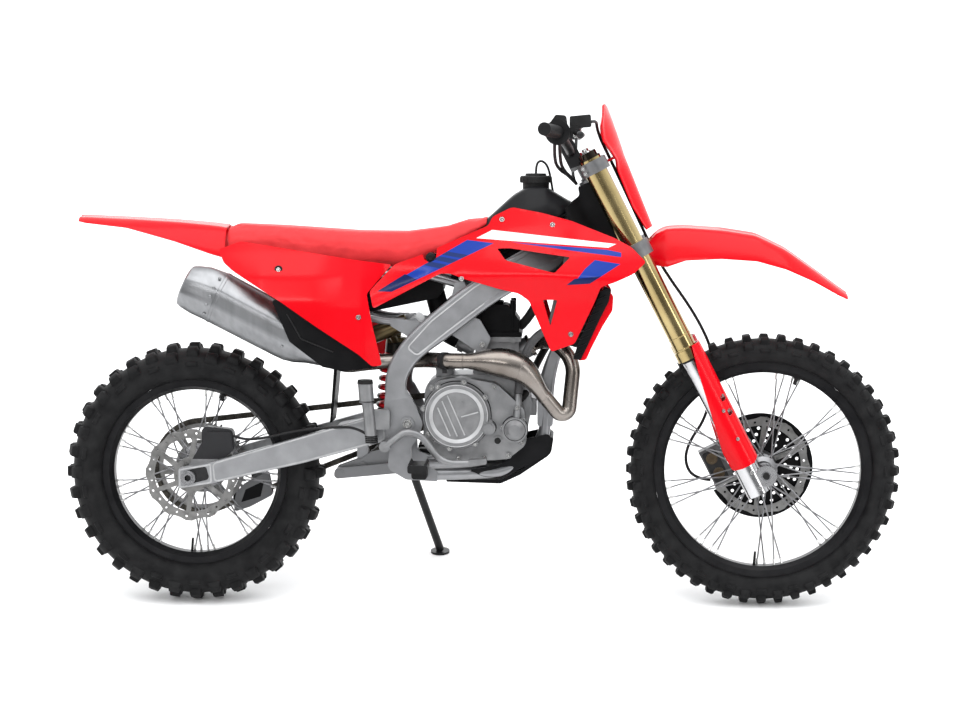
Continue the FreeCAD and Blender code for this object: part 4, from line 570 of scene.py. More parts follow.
def cutter(outline, radius):
    """A prism across the bike with a side-view outline of (x, z) corners, rounded."""
    prism = bmesh.new()
    corners = [prism.verts.new((x, 0, z)) for x, z in outline]
    base = prism.faces.new(corners)
    sides = bmesh.ops.extrude_face_region(prism, geom=[base])["geom"]
    bmesh.ops.translate(prism, vec=(0, 0.4, 0), verts=[v for v in sides if isinstance(v, bmesh.types.BMVert)])
    posts = [edge for edge in prism.edges if abs(edge.verts[0].co.y - edge.verts[1].co.y) > 0.3]
    bmesh.ops.bevel(prism, geom=posts, offset=radius, offset_type="OFFSET", affect="EDGES", segments=4,
                    profile=0.5, material=-1, clamp_overlap=True)
    bmesh.ops.recalc_face_normals(prism, faces=prism.faces)
    return prism


def as_object(shape, name):
    """A shape as an object of the scene, for modifiers to work on."""
    mesh = bpy.data.meshes.new(name)
    shape.to_mesh(mesh)
    shape.free()
    thing = bpy.data.objects.new(name, mesh)
    scene.collection.objects.link(thing)
    return thing


def baked(thing):
    """The shape of an object with its modifiers, as a bmesh; the object itself is thrown away."""
    shape = bmesh.new()
    graph = bpy.context.evaluated_depsgraph_get()
    shape.from_object(thing, graph)
    mesh = thing.data
    bpy.data.objects.remove(thing)
    bpy.data.meshes.remove(mesh)
    return shape


def sheet_of(long_cells, cross_cells, place):
    """A sheet of cells whose corners lie where place(along, across) says, both from 0 to 1."""
    sheet = bmesh.new()
    bmesh.ops.create_grid(sheet, x_segments=long_cells, y_segments=cross_cells, size=0.5)
    for v in sheet.verts:
        v.co = Vector(place(v.co.x + 0.5, v.co.y + 0.5))
    return sheet


def smoothed(sheet, times, axes):
    """Evens out a sheet's inner corners along the named axes."""
    for _ in range(times):
        bmesh.ops.smooth_vert(sheet, verts=[v for v in sheet.verts if not v.is_boundary], factor=0.5,
                              use_axis_x="x" in axes, use_axis_y="y" in axes, use_axis_z="z" in axes)


def walled(sheet, thickness, offset=-1):
    """A thin sheet as an object with a wall of that thickness."""
    whole = as_object(sheet, "sheet")
    wall = whole.modifiers.new("wall", "SOLIDIFY")
    wall.thickness, wall.offset = thickness, offset
    return whole


def rimmed(whole, edge):
    """A walled sheet with its sharp rims rounded, baked."""
    rim = whole.modifiers.new("rim", "BEVEL")
    rim.width, rim.segments, rim.limit_method, rim.angle_limit = edge, 2, "ANGLE", radians(55)
    return baked(whole)


def moulding(outline, holes, lie, thickness, radius, step=0.008, soften=10, edge=0.0012):
    """A curved sheet of plastic cut to its outline, with its rim rounded. It is the left side's."""
    xs, zs = [x for x, z in outline], [z for x, z in outline]
    x0, x1, z0, z1 = min(xs) - 0.02, max(xs) + 0.02, min(zs) - 0.02, max(zs) + 0.02

    def place(along, up):
        x, z = x0 + along * (x1 - x0), z0 + up * (z1 - z0)
        return x, lie(x, z) if callable(lie) else between_stations(lie, x, z), z

    sheet = sheet_of(int((x1 - x0) / step), int((z1 - z0) / step), place)
    smoothed(sheet, soften, "y")
    bmesh.ops.recalc_face_normals(sheet, faces=sheet.faces)
    if next(iter(sheet.faces)).normal.y < 0:
        bmesh.ops.reverse_faces(sheet, faces=sheet.faces)
    whole = walled(sheet, thickness)
    trims = [as_object(cutter(outline, radius), "trim")]
    trims += [as_object(cutter(hole, radius * 0.6), "trim") for hole in holes]
    for trim in trims:
        cut = whole.modifiers.new("cut", "BOOLEAN")
        cut.operation = "INTERSECT" if trim == trims[0] else "DIFFERENCE"
        cut.solver, cut.object = "EXACT", trim
    shape = rimmed(whole, edge)
    for trim in trims:
        bpy.data.objects.remove(trim)
    return shape


def both_sides(name, shape, body, material, crease, *nodes):
    """The left piece as it is and the right one mirrored from it."""
    other = shape.copy()
    bmesh.ops.scale(other, vec=(1, -1, 1), verts=other.verts)
    bmesh.ops.reverse_faces(other, faces=other.faces)
    left = bike_piece(name + "_left", shape, body, material, crease, *nodes)
    return left, bike_piece(name + "_right", other, body, material, crease, *nodes)


shroud_outline = [(0.480, 0.779), (0.470, 0.822), (0.533, 0.890), (0.609, 0.917), (0.700, 0.958),
                  (0.770, 0.988), (0.780, 1.010), (0.829, 1.034), (0.905, 1.020), (0.981, 1.000),
                  (1.089, 0.958), (1.130, 0.936), (1.166, 0.900), (1.134, 0.870), (1.090, 0.850),
                  (1.054, 0.838), (1.036, 0.794), (0.989, 0.694), (0.930, 0.672), (0.874, 0.801),
                  (0.848, 0.819), (0.797, 0.830), (0.708, 0.855), (0.676, 0.868), (0.650, 0.868)]
vent = [(0.793, 0.931), (0.826, 0.932), (0.977, 0.911), (0.938, 0.872), (0.815, 0.902)]
slot_below = [(0.909, 0.804), (0.945, 0.804), (0.928, 0.738)]
shroud_stations = [
    (0.44, [(1.05, 0.118), (0.88, 0.134), (0.80, 0.144), (0.64, 0.140)]),
    (0.60, [(1.05, 0.108), (0.93, 0.124), (0.88, 0.135), (0.83, 0.135), (0.64, 0.128)]),
    (0.76, [(1.05, 0.100), (0.96, 0.122), (0.90, 0.143), (0.862, 0.152), (0.80, 0.136), (0.64, 0.128)]),
    (0.90, [(1.05, 0.104), (0.98, 0.128), (0.92, 0.164), (0.868, 0.184), (0.80, 0.168), (0.64, 0.154)]),
    (1.04, [(1.05, 0.118), (0.97, 0.146), (0.92, 0.174), (0.862, 0.194), (0.80, 0.184), (0.64, 0.170)]),
    (1.18, [(1.05, 0.138), (0.95, 0.168), (0.90, 0.186), (0.84, 0.190), (0.64, 0.180)])]
seat_notch = [(0.600, 0.930), (0.608, 0.903), (0.622, 0.894), (0.638, 0.903), (0.642, 0.940)]


def shroud_lie(x, z):
    """The stations, with the lower rear edge turned outwards."""
    below = min(0.018, max(0.0, 0.800 + (x - 0.470) * 0.4235 - z)) * min(1, max(0, (0.70 - x) / 0.06))
    return between_stations(shroud_stations, x, z) + 0.5 * below


shroud_shape = moulding(shroud_outline, [vent, slot_below, seat_notch], shroud_lie, 0.0038, 0.007, soften=2)
both_sides("shroud", shroud_shape, "chassis", printed_red, 32, "shrouds")

# The side panels: the same red plastic, from under the seat down to the black guard. They serve as
# the number boards and are left blank.
panel_outline = [(0.083, 0.926), (0.098, 0.893), (0.122, 0.873), (0.248, 0.796), (0.345, 0.728),
                 (0.445, 0.661), (0.476, 0.631), (0.500, 0.633), (0.476, 0.740), (0.463, 0.816),
                 (0.526, 0.889), (0.442, 0.900), (0.300, 0.922), (0.141, 0.947)]
panel_stations = [
    (0.06, [(0.96, 0.102), (0.90, 0.118), (0.86, 0.128), (0.78, 0.134), (0.62, 0.136)]),
    (0.20, [(0.96, 0.114), (0.92, 0.128), (0.86, 0.156), (0.80, 0.167), (0.70, 0.168), (0.62, 0.164)]),
    (0.32, [(0.96, 0.114), (0.92, 0.126), (0.86, 0.154), (0.80, 0.166), (0.70, 0.167), (0.62, 0.163)]),
    (0.40, [(0.96, 0.122), (0.91, 0.137), (0.86, 0.148), (0.78, 0.157), (0.70, 0.158), (0.62, 0.155)]),
    (0.455, [(0.96, 0.118), (0.91, 0.131), (0.86, 0.140), (0.78, 0.150), (0.70, 0.153), (0.62, 0.152)]),
    (0.505, [(0.96, 0.118), (0.86, 0.126), (0.78, 0.130), (0.62, 0.126)])]
panel_shape = moulding(panel_outline, [], panel_stations, 0.0038, 0.006, step=0.006, soften=2)
both_sides("side_panel", panel_shape, "chassis", red_plastic, 32, "side_panels")

# The raised borders forged on the frame's spars, on the swingarm's faces and round its axle slots. Their
# lighter finish is painted highlight along the edges.


def spar_face(x, z):
    """How far out the frame's spar lies, with the border's own height."""
    for (x0, y0), (x1, y1) in zip(SPAR, SPAR[1:]):
        if x <= x1:
            return y0 + (y1 - y0) * max(0.0, (x - x0) / (x1 - x0)) + 0.0012
    return SPAR[-1][1] + 0.0012


def arm_face(x, z):
    """How far out the swingarm lies; it narrows towards its pivot."""
    return 0.125 - 0.0684 * min(0.38, max(0.0, x - 0.06))


SPAR = [(0.566, 0.121), (0.640, 0.124), (0.748, 0.124), (0.850, 0.115)]
borders = [
    ("spar_border", spar_face, 0.012,
     [(0.8344, 0.8974), (0.732, 0.8318), (0.6243, 0.7468), (0.5607, 0.6761), (0.5899, 0.6549),
      (0.6557, 0.7092), (0.764, 0.7922), (0.8656, 0.8546)],
     [(0.8330, 0.8928), (0.7338, 0.8292), (0.6266, 0.7440), (0.5668, 0.6780), (0.5880, 0.6600),
      (0.6534, 0.7120), (0.7622, 0.7948), (0.8600, 0.8550)]),
    ("arm_border", arm_face, 0.010,
     [(0.062, 0.3785), (0.294, 0.4455), (0.450, 0.4900), (0.500, 0.4950), (0.505, 0.4370), (0.466, 0.4265),
      (0.294, 0.3800), (0.066, 0.3290)],
     [(0.0655, 0.3757), (0.294, 0.4418), (0.450, 0.4862), (0.4965, 0.4912), (0.5012, 0.4403),
      (0.466, 0.4305), (0.294, 0.3840), (0.0695, 0.3338)]),
    ("slot_border", arm_face, 0.008,
     [(-0.0245, 0.3135), (-0.0245, 0.3620), (0.043, 0.3738), (0.0590, 0.3775), (0.0610, 0.3290),
      (0.054, 0.3262)],
     [(-0.0200, 0.3180), (-0.0200, 0.3588), (0.044, 0.3700), (0.0550, 0.3727), (0.0565, 0.3312),
      (0.053, 0.3300)])]
for name, lie, radius, outline, inner in borders:
    # Each border's relief is real; its lighter colour is painted highlight.
    border = moulding(outline, [inner], lie, 0.0022, radius, step=0.012, soften=1, edge=0.0006)
    both_sides(name, border, "chassis", edge_highlight, 30)

# The fenders: red plastic channels, moulded in one piece each, with a raised middle and turned-down
# sides. The rear one is bolted under the seat's tail, the front one under the lower fork clamp.


def through(stations, x):
    """The values of a station list at x, each eased from one station to the next."""
    for (x0, *low), (x1, *high) in zip(stations, stations[1:]):
        if x <= x1 or x1 == stations[-1][0]:
            share = min(1, max(0, (x - x0) / (x1 - x0)))
            return [a + (b - a) * share for a, b in zip(low, high)]


def fender(stations, thickness, ridge, long_cells, cross_cells):
    """A channel through (x, top, edge, half width) stations, with a low ridge down its middle."""
    x0, x1 = stations[0][0], stations[-1][0]

    def place(along, across):
        x, s = x0 + along * (x1 - x0), (across - 0.5) * 2
        top, low, half = through(stations, x)
        turn = max(0.0, (abs(s) - 0.62) / 0.38)
        crown = ridge * max(0.0, 1 - abs(s) / 0.30)
        z = top + crown - (top - low) * (0.10 * s * s + 0.90 * turn ** 1.6)
        return x, half * (s * 0.90 + 0.10 * s * min(1, turn * 1.4)), z

    skin = sheet_of(long_cells, cross_cells, place)
    smoothed(skin, 6, "yz")
    bmesh.ops.recalc_face_normals(skin, faces=skin.faces)
    if sum(face.normal.z for face in skin.faces) < 0:
        bmesh.ops.reverse_faces(skin, faces=skin.faces)
    return rimmed(walled(skin, thickness), 0.0012)


rear_stations = [(-0.291, 1.007, 0.9965, 0.046), (-0.270, 1.0072, 0.993, 0.058),
                 (-0.160, 1.003, 0.981, 0.076), (-0.033, 0.996, 0.946, 0.092), (0.060, 0.988, 0.914, 0.098),
                 (0.0955, 0.983, 0.904, 0.099)]
bike_piece("rear_fender_skin", fender(rear_stations, 0.004, 0.004, 60, 36), "chassis", red_plastic, 32,
           "rear_fender")
front_stations = [(1.176, 0.944, 0.912, 0.056), (1.196, 0.968, 0.885, 0.064), (1.222, 0.981, 0.882, 0.076),
                  (1.270, 0.983, 0.899, 0.082), (1.360, 0.977, 0.904, 0.090), (1.450, 0.963, 0.898, 0.088),
                  (1.526, 0.926, 0.877, 0.082), (1.600, 0.873, 0.845, 0.072), (1.660, 0.829, 0.812, 0.058),
                  (1.686, 0.810, 0.800, 0.044)]
bike_piece("front_fender_skin", fender(front_stations, 0.004, 0.005, 76, 36), "steering", red_plastic, 32,
           "front_fender")

# The fuel tank: dark grey moulded plastic, matte, creased along its shoulders. It sits between the
# frame's beams, and its black screw cap carries the vent hose.
tank_plastic = finish("tank_plastic", (0.006, 0.006, 0.007), (0.010, 0.010, 0.011), 0.0, 0.40, 16, 1600,
                      0.12, gloss=0.12)
black_rubber = finish("black_rubber", (0.006, 0.006, 0.006), (0.012, 0.012, 0.012), 0.0, 0.56, 40, 1500,
                      0.25, gloss=0.18)


def closed(skin):
    """Sews a rolled-up sheet along its seam and closes its ends."""
    bmesh.ops.remove_doubles(skin, verts=skin.verts, dist=0.00005)
    bmesh.ops.holes_fill(skin, edges=[edge for edge in skin.edges if edge.is_boundary], sides=0)
    bmesh.ops.recalc_face_normals(skin, faces=skin.faces)
    return skin


def shell_through(stations, around, rings):
    """A closed shell whose sections are closed (y, z) polygons, one at each x of the stations."""
    x0, x1 = stations[0][0], stations[-1][0]

    def on(outline, share):
        lengths = [hypot(b[0] - a[0], b[1] - a[1]) for a, b in zip(outline, outline[1:] + outline[:1])]
        left = share % 1 * sum(lengths)
        for (a, b), run in zip(zip(outline, outline[1:] + outline[:1]), lengths):
            if left <= run:
                return a[0] + (b[0] - a[0]) * left / run, a[1] + (b[1] - a[1]) * left / run
            left -= run
        return outline[0]

    def place(along, share):
        x = x0 + along * (x1 - x0)
        for (a, low), (b, high) in zip(stations, stations[1:]):
            if x <= b or b == x1:
                t = min(1, max(0, (x - a) / (b - a)))
                (y0, z0), (y1, z1) = on(low, share), on(high, share)
                return x, y0 + (y1 - y0) * t, z0 + (z1 - z0) * t

    return closed(sheet_of(rings, around, place))


def tank_section(low, belly, seat, half, high, top):
    """A section of the tank: a narrow belly between the spars, a seat on them and sloped shoulders."""
    return [(0, low), (belly, low), (belly, seat), (half, seat), (half * 0.98, seat + (high - seat) * 0.5),
            (top, high), (0, high + 0.002), (-top, high), (-half * 0.98, seat + (high - seat) * 0.5),
            (-half, seat), (-belly, seat), (-belly, low)]


tank = shell_through([
    (0.672, tank_section(0.844, 0.044, 0.864, 0.050, 0.930, 0.030)),
    (0.760, tank_section(0.838, 0.048, 0.892, 0.072, 0.998, 0.040)),
    (0.830, tank_section(0.848, 0.048, 0.936, 0.087, 1.062, 0.048)),
    (0.868, tank_section(0.862, 0.048, 0.960, 0.092, 1.084, 0.052)),
    (0.912, tank_section(0.892, 0.040, 0.990, 0.091, 1.084, 0.050)),
    (0.945, tank_section(0.936, 0.034, 1.006, 0.085, 1.064, 0.044)),
    (0.978, tank_section(1.004, 0.018, 1.024, 0.062, 1.044, 0.034))], 72, 44)
smoothed(tank, 3, "yz")
bike_piece("tank_shell", tank, "chassis", tank_plastic, 60, "fuel_tank")

tank_cap = bmesh.new()
cap_x, cap_radius = 0.888, 0.0405
for radius, low, high, edge in (
        (0.034, 1.074, 1.098, 0.001), (cap_radius, 1.094, 1.112, 0.004), (0.027, 1.108, 1.118, 0.003)):
    middle = Matrix.Translation((cap_x, 0, (low + high) / 2))
    ring = round_bar(tank_cap, middle, 40, radius, radius, high - low)
    top = {v for v in ring if v.co.z > low + 0.0001}
    rounded(tank_cap, {e for v in top for e in v.link_edges if e.other_vert(v) in top}, edge, 3)
for i in range(20):
    turn = 2 * pi * i / 20
    grip = laid((cap_x + cap_radius * cos(turn), cap_radius * sin(turn), 1.102), turn, "Z")
    block(tank_cap, grip, (0.0022, 0.006, 0.012))
bike_piece("tank_cap", tank_cap, "chassis", black_rubber, 35)
hose("vent_hose", [(0.888, 0.0, 1.116), (0.888, 0.0, 1.142), (0.901, 0.0, 1.152), (0.917, 0.0, 1.140),
                   (0.926, 0.0, 1.108), (0.932, 0.0, 1.068)], 0.003, hose_rubber, "chassis")

# Black sheets behind the fork, from the tank to the head: painted shade standing for the steering head
# in shadow, not a part of the bike.


def head_shade_lie(x, z):
    """How far out the shade sheet lies: close to the head in front, bulging behind it."""
    behind = -0.050 - ((x - 1.050) * 0.889 + (z - 1.057) * 0.457)
    return 0.0565 + min(0.030, max(0.0, behind * 0.75))


head_shade_outline = [(0.962, 1.030), (1.000, 1.060), (0.996, 1.083), (1.020, 1.096), (1.040, 1.088),
                (1.119, 0.953), (1.090, 0.940), (1.060, 0.936), (0.985, 0.962)]
# These black sheets are painted shade of the steering head.
head_shade = moulding(head_shade_outline, [], head_shade_lie, 0.0025, 0.006, step=0.006, soften=4, edge=0.0008)
black_plastic = finish("black_plastic", (0.004, 0.004, 0.0045), (0.008, 0.008, 0.009), 0.0, 0.42, 18, 1700,
                       0.2, gloss=0.08)
both_sides("head_shade", head_shade, "chassis", black_plastic, 35)

# The seat: foam on a base, under one red cover that grips. It is firm, narrow at the tank and
# broader at the tail, with a seam along each side.
seat_cover = finish("seat_cover", (0.52, 0.016, 0.020), (0.62, 0.024, 0.028), 0.0, 0.55, 26, 620, 0.5,
                    gloss=0.25)
seat_stations = [(0.100, 0.924, 0.986, 0.088, 0.066), (0.240, 0.898, 0.980, 0.100, 0.084),
                 (0.440, 0.880, 0.967, 0.098, 0.080), (0.560, 0.880, 0.966, 0.092, 0.066),
                 (0.660, 0.926, 0.979, 0.080, 0.052), (0.764, 0.990, 1.012, 0.056, 0.036)]


def on_seat(along, around):
    """Where the cover lies on the seat: a rounded box through the stations."""
    x, turn = 0.100 + along * 0.664, 2 * pi * around
    low, high, half, top = through(seat_stations, x)
    side = copysign(abs(sin(turn)) ** 0.42, sin(turn))
    lift = copysign(abs(cos(turn)) ** 0.50, cos(turn))
    return x, (half + (top - half) * (lift + 1) / 2) * side, (low + high) / 2 + lift * (high - low) / 2


cushion = as_object(closed(sheet_of(96, 48, on_seat)), "cushion")
even = cushion.modifiers.new("even", "REMESH")
even.mode, even.voxel_size = "VOXEL", 0.006
foam = baked(cushion)
start = [v.co.copy() for v in foam.verts]
cushion = as_object(foam, "cushion")
swell = cushion.modifiers.new("swell", "CLOTH")
swell.settings.use_pressure = True
swell.settings.uniform_pressure_force = 4
swell.settings.effector_weights.gravity = 0
swell.settings.quality = 4
for step in range(1, 15):
    scene.frame_set(step)
foam = baked(cushion)
scene.frame_set(1)
foam.verts.ensure_lookup_table()
for v, was in zip(foam.verts, start):
    move = v.co - was
    v.co = was + move * min(1, 0.004 / max(move.length, 1e-9))
    if v.co.z < was.z and was.z < 0.93:
        v.co.z = was.z
for v in foam.verts:
    low, high, half, top = through(seat_stations, v.co.x)
    away = abs((v.co.z - low) / max(0.004, high - low) - 0.62)
    if away < 0.05 and abs(v.co.y) > top * 0.8 and v.co.x < 0.70:
        v.co.y *= 1 - 0.014 * (1 - away / 0.05)
seat = bike_piece("seat_pad", foam, "chassis", seat_cover, 70, "seat")

# The number plate: a thin red board on the bars' front, with two horns at its top and a stem that
# runs down to the fender. It is left blank.
plate_stations = [(-0.128, 0.046, 0.088, 0.066), (-0.060, 0.054, 0.094, 0.060), (0.040, 0.062, 0.103, 0.068),
                  (0.064, 0.072, 0.105, 0.078), (0.096, 0.102, 0.110, 0.074), (0.124, 0.106, 0.114, 0.068),
                  (0.160, 0.104, 0.118, 0.082), (0.182, 0.096, 0.120, 0.098), (0.206, 0.070, 0.122, 0.112)]


def on_plate(up, across):
    """Where the board lies in the steering's frame, its top edge dipped between the horns."""
    height, s = -0.128 + up * 0.334, (across - 0.5) * 2
    half, middle, rim = through(plate_stations, height)
    dip = 0.016 * max(0.0, 1 - (abs(s) - 0.72) ** 2 / 0.5) - 0.016 if up > 0.8 else 0
    return (middle + (rim - middle) * abs(s) ** 2.2 + 0.004 * (abs(s) > 0.9), half * s,
            height + dip * max(0, up - 0.8) / 0.2)


board = sheet_of(60, 40, on_plate)
smoothed(board, 2, "x")
bmesh.ops.transform(board, matrix=head, verts=board.verts)
board = rimmed(walled(board, 0.0032, 0), 0.001)
for side in (-1, 1):
    block(board, head @ Matrix.Translation((0.066, side * 0.040, 0.073)), (0.066, 0.012, 0.006))
bike_piece("plate_board", board, "steering", red_plastic, 35, "number_plate")

# The silencer: a folded aluminium body of eight faces round a perforated core, with a riveted end
# cap. It rises to the rear on the right side, and its outlet is a plain round tube.
silencer_skin = finish("silencer_skin", (0.19, 0.194, 0.200), (0.25, 0.254, 0.262), 1.0, 0.33, 8, 900, 0.10,
                       (6, 6, 1), uneven=0.05)
facets = [(-0.018, 0.066), (0.018, 0.066), (0.050, 0.024), (0.050, -0.024), (0.020, -0.066), (-0.020, -0.066),
          (-0.050, -0.024), (-0.050, 0.024)]
rise_25 = laid((0.364, -0.100, 0.648), radians(25)) @ Matrix.Rotation(pi, 4, "Z")
body_rings = [(0.000, 0.42, 0.33, -0.002, 1.0), (0.002, 0.45, 0.345, -0.002, 1.0),
              (0.050, 0.66, 0.53, -0.002, 0.7), (0.078, 0.84, 0.78, 0.004, 0.2),
              (0.106, 0.95, 0.95, 0.010, 0), (0.130, 0.97, 0.97, 0.011, 0), (0.318, 1.00, 1.00, 0.020, 0),
              (0.319, 1.012, 1.012, 0.020, 0), (0.326, 1.012, 1.012, 0.020, 0),
              (0.327, 0.99, 0.99, 0.020, 0), (0.330, 0.99, 0.99, 0.020, 0), (0.372, 0.95, 0.96, 0.018, 0),
              (0.400, 0.86, 0.87, 0.015, 0.1), (0.413, 0.78, 0.79, 0.014, 0.25),
              (0.417, 0.70, 0.66, 0.014, 0.5), (0.4175, 0.50, 0.38, 0.013, 1.0),
              (0.4175, 0.42, 0.32, 0.013, 1.0), (0.362, 0.42, 0.32, 0.013, 1.0)]
can = bmesh.new()
spots = []
for (y0, z0), (y1, z1) in zip(facets, facets[1:] + facets[:1]):
    spots += [(y0 + (y1 - y0) * t, z0 + (z1 - z0) * t) for t in (0.07, 0.35, 0.65, 0.93)]
loops = []
for along, wide, tall, lift, round_share in body_rings:
    ring = []
    for y, z in spots:
        turn = atan2(z, y)
        y += (0.050 * cos(turn) - y) * round_share
        z += (0.066 * sin(turn) - z) * round_share
        ring.append(can.verts.new((along, wide * y, lift + tall * z)))
    loops.append([can.edges.new((ring[i - 1], ring[i])) for i in range(len(ring))])
for near, far in zip(loops, loops[1:]):
    bmesh.ops.bridge_loops(can, edges=near + far)
for end in (loops[0], loops[-1]):
    bmesh.ops.contextual_create(can, geom=end)
for along, y, z in ((0.338, 0.0505, -0.004), (0.338, 0.0505, 0.020), (0.338, 0.0505, 0.044),
                    (0.336, 0.034, 0.070), (0.336, 0.034, -0.030), (0.120, 0.047, -0.020)):
    for out in (-1, 1):
        rivet = Matrix.Translation((along, out * y, z)) @ Matrix.Diagonal((1, 0.6, 1, 1))
        bmesh.ops.create_uvsphere(can, u_segments=12, v_segments=8, radius=0.0042, matrix=rivet)
bmesh.ops.transform(can, matrix=rise_25, verts=can.verts)
bike_piece("silencer", can, "chassis", silencer_skin, 25, "muffler")
dress(red_plastic, "fork_guards")

# The chain guide and the slider, the air box and the skid plate: black mouldings, the guide in an
# alloy bracket. The skid plate's sides turn up over the cradle's bend.
guide_finish = copy_of(black_moulding, "guide_finish")
print_on(guide_finish, ((0.17, 0.172, 0.177), (0.078, 0.208), (0.198, 0.250), (0.190, 0.336), (0.100, 0.300)),
         ((0.008, 0.008, 0.0085), (0.106, 0.246), (0.158, 0.262), (0.168, 0.304), (0.118, 0.280)))
dress(guide_finish, "chain_guides")
dress(black_moulding, "air_box", "skid_plate", "heat_guard")
channel = bmesh.new()
bends = [Vector((0.262, -0.1575, 0.766)), Vector((0.298, -0.1563, 0.702)), Vector((0.378, -0.1448, 0.668))]
for start, end in zip(bends, bends[1:]):
    lie = standing(start + (end - start) / 2, end - start)
    round_bar(channel, lie, 10, 0.0016, 0.0016, (end - start).length)
bike_piece("guard_channel", channel, "chassis", black_steel, 40)


def skid_lie(x, z):
    """How far out the skid plate's side lies; it spreads to the rear with the cradle."""
    return 0.0715 + max(0.0, 0.80 - x) * 0.36


skid_outline = [(0.833, 0.432), (0.922, 0.452), (0.932, 0.440), (0.926, 0.402), (0.876, 0.374),
                (0.800, 0.336), (0.752, 0.344), (0.722, 0.362), (0.797, 0.371), (0.826, 0.392)]
skid_wing = moulding(skid_outline, [], skid_lie, 0.003, 0.006, step=0.006, soften=2, edge=0.0009)
both_sides("skid_wing", skid_wing, "chassis", black_plastic, 35)

# The drive chain: steel side plates on rollers, every other pair of plates the outer one, in one
# loop over the rear sprocket and the small one at the gearbox.
chain_steel = finish("chain_steel", (0.030, 0.028, 0.025), (0.075, 0.070, 0.060), 0.9, 0.38, 90, 1500, 0.1)
PITCH = 0.015875
sprocket_teeth, gear_teeth = 48, 13
big, small = PITCH / (2 * sin(pi / sprocket_teeth)), PITCH / (2 * sin(pi / gear_teeth))
gearbox = Vector((0.646, 0.080, 0.505))
wheel = Vector((rear_axle.x, 0.080, rear_axle.z))
slope = atan2(gearbox.z - wheel.z, gearbox.x - wheel.x)
reach = (gearbox - wheel).length
open_angle = acos((big - small) / reach)
run = reach * sin(open_angle)
wrap_big, wrap_small = big * (2 * pi - 2 * open_angle), small * 2 * open_angle
links = round((2 * run + wrap_big + wrap_small) / PITCH)
spacing = (2 * run + wrap_big + wrap_small) / links


def on_chain(s):
    """Where the chain is, and how it is turned, at a distance s along it."""
    s %= 2 * run + wrap_big + wrap_small
    top = slope + open_angle
    start = wheel + Vector((big * cos(top), 0, big * sin(top)))
    if s < wrap_big:
        turn = top + s / big
        return wheel + Vector((big * cos(turn), 0, big * sin(turn))), turn + pi / 2
    s -= wrap_big
    low = slope - open_angle
    if s < run:
        foot = wheel + Vector((big * cos(low), 0, big * sin(low)))
        return foot + Vector((cos(low + pi / 2), 0, sin(low + pi / 2))) * s, low + pi / 2
    s -= run
    if s < wrap_small:
        turn = low + s / small
        return gearbox + Vector((small * cos(turn), 0, small * sin(turn))), turn + pi / 2
    s -= wrap_small
    crest = gearbox + Vector((small * cos(top), 0, small * sin(top)))
    return crest + (start - crest).normalized() * s, top + pi / 2


chain = bmesh.new()
for i in range(links):
    place, turn = on_chain(i * spacing)
    outer = 0.0072 if i % 2 else 0.0052
    for side in (-1, 1):
        plate = block(chain, Matrix(), (0.0245, 0.0015, 0.0138))
        round_ends = rounded(chain, edges_across(plate), 0.005, 2)
        plate = {v for f in round_ends["faces"] for v in f.verts} | {v for v in plate if v.is_valid}
        aside = Matrix.Translation((0, side * outer, 0))
        bmesh.ops.transform(chain, matrix=laid(place, -turn) @ aside, verts=list(plate))
    pin, _ = on_chain((i + 0.5) * spacing)
    round_bar(chain, laid(pin, pi / 2, "X"), 8, 0.0042, 0.0042, 0.0172)
near_side = gearbox - Vector((0, 0.003, 0))
gear = bmesh.ops.create_circle(chain, cap_ends=True, segments=4 * gear_teeth, radius=small,
                               matrix=laid(near_side, pi / 2, "X"))
for i, v in enumerate(gear["verts"]):
    v.co = v.co + (v.co - near_side).normalized() * (0.001, -0.0075, -0.0075, 0.001)[i % 4]
tooth_faces = list({f for v in gear["verts"] for f in v.link_faces})
thick = bmesh.ops.extrude_face_region(chain, geom=tooth_faces)["geom"]
bmesh.ops.translate(chain, vec=(0, 0.006, 0), verts=[g for g in thick if isinstance(g, bmesh.types.BMVert)])
bike_piece("chain_links", chain, "chassis", chain_steel, 30, "drive_chain")

# The pegs and pedals: pressed steel pegs with teeth, and cast alloy pedals. The rear brake's cylinder
# and caliper are cast, the caliper darker.
dress(black_steel, "footpegs")
dress(cast_alloy, "foot_controls")
teeth = bmesh.new()
for side in (-1, 1):
    for i in range(9):
        for x in (0.577, 0.617):
            lie = Matrix.Translation((x, side * (0.156 + 0.0093 * i), 0.3953))
            round_bar(teeth, lie, 4, 0.0045, 0.0012, 0.007)
bike_piece("peg_teeth", teeth, "chassis", black_steel, 20)
brake_alloy = copy_of(cast_alloy, "brake_alloy")
print_on(brake_alloy, ((0.030, 0.030, 0.032), (-0.04, 0.385), (0.135, 0.385), (0.135, 0.50), (-0.04, 0.50)))
dress(brake_alloy, "rear_brake")
boot = bmesh.new()
for i in range(4):
    bead(boot, Vector((0.4740 - 0.0004 * i, -0.138, 0.438 + 0.0048 * i)), (0, 0, 1), 0.0142, 0.0026, 28)
round_bar(boot, Matrix.Translation((0.458, -0.138, 0.592)), 32, 0.0205, 0.0190, 0.010)
bead(boot, Vector((0.4630, -0.138, 0.542)), (0, 0, 1), 0.0190, 0.0014, 28)
bike_piece("brake_cylinder_boot", boot, "chassis", black_rubber, 40)

# The fasteners: flanged hexagon and dished button screws of plated steel that show on the outside.


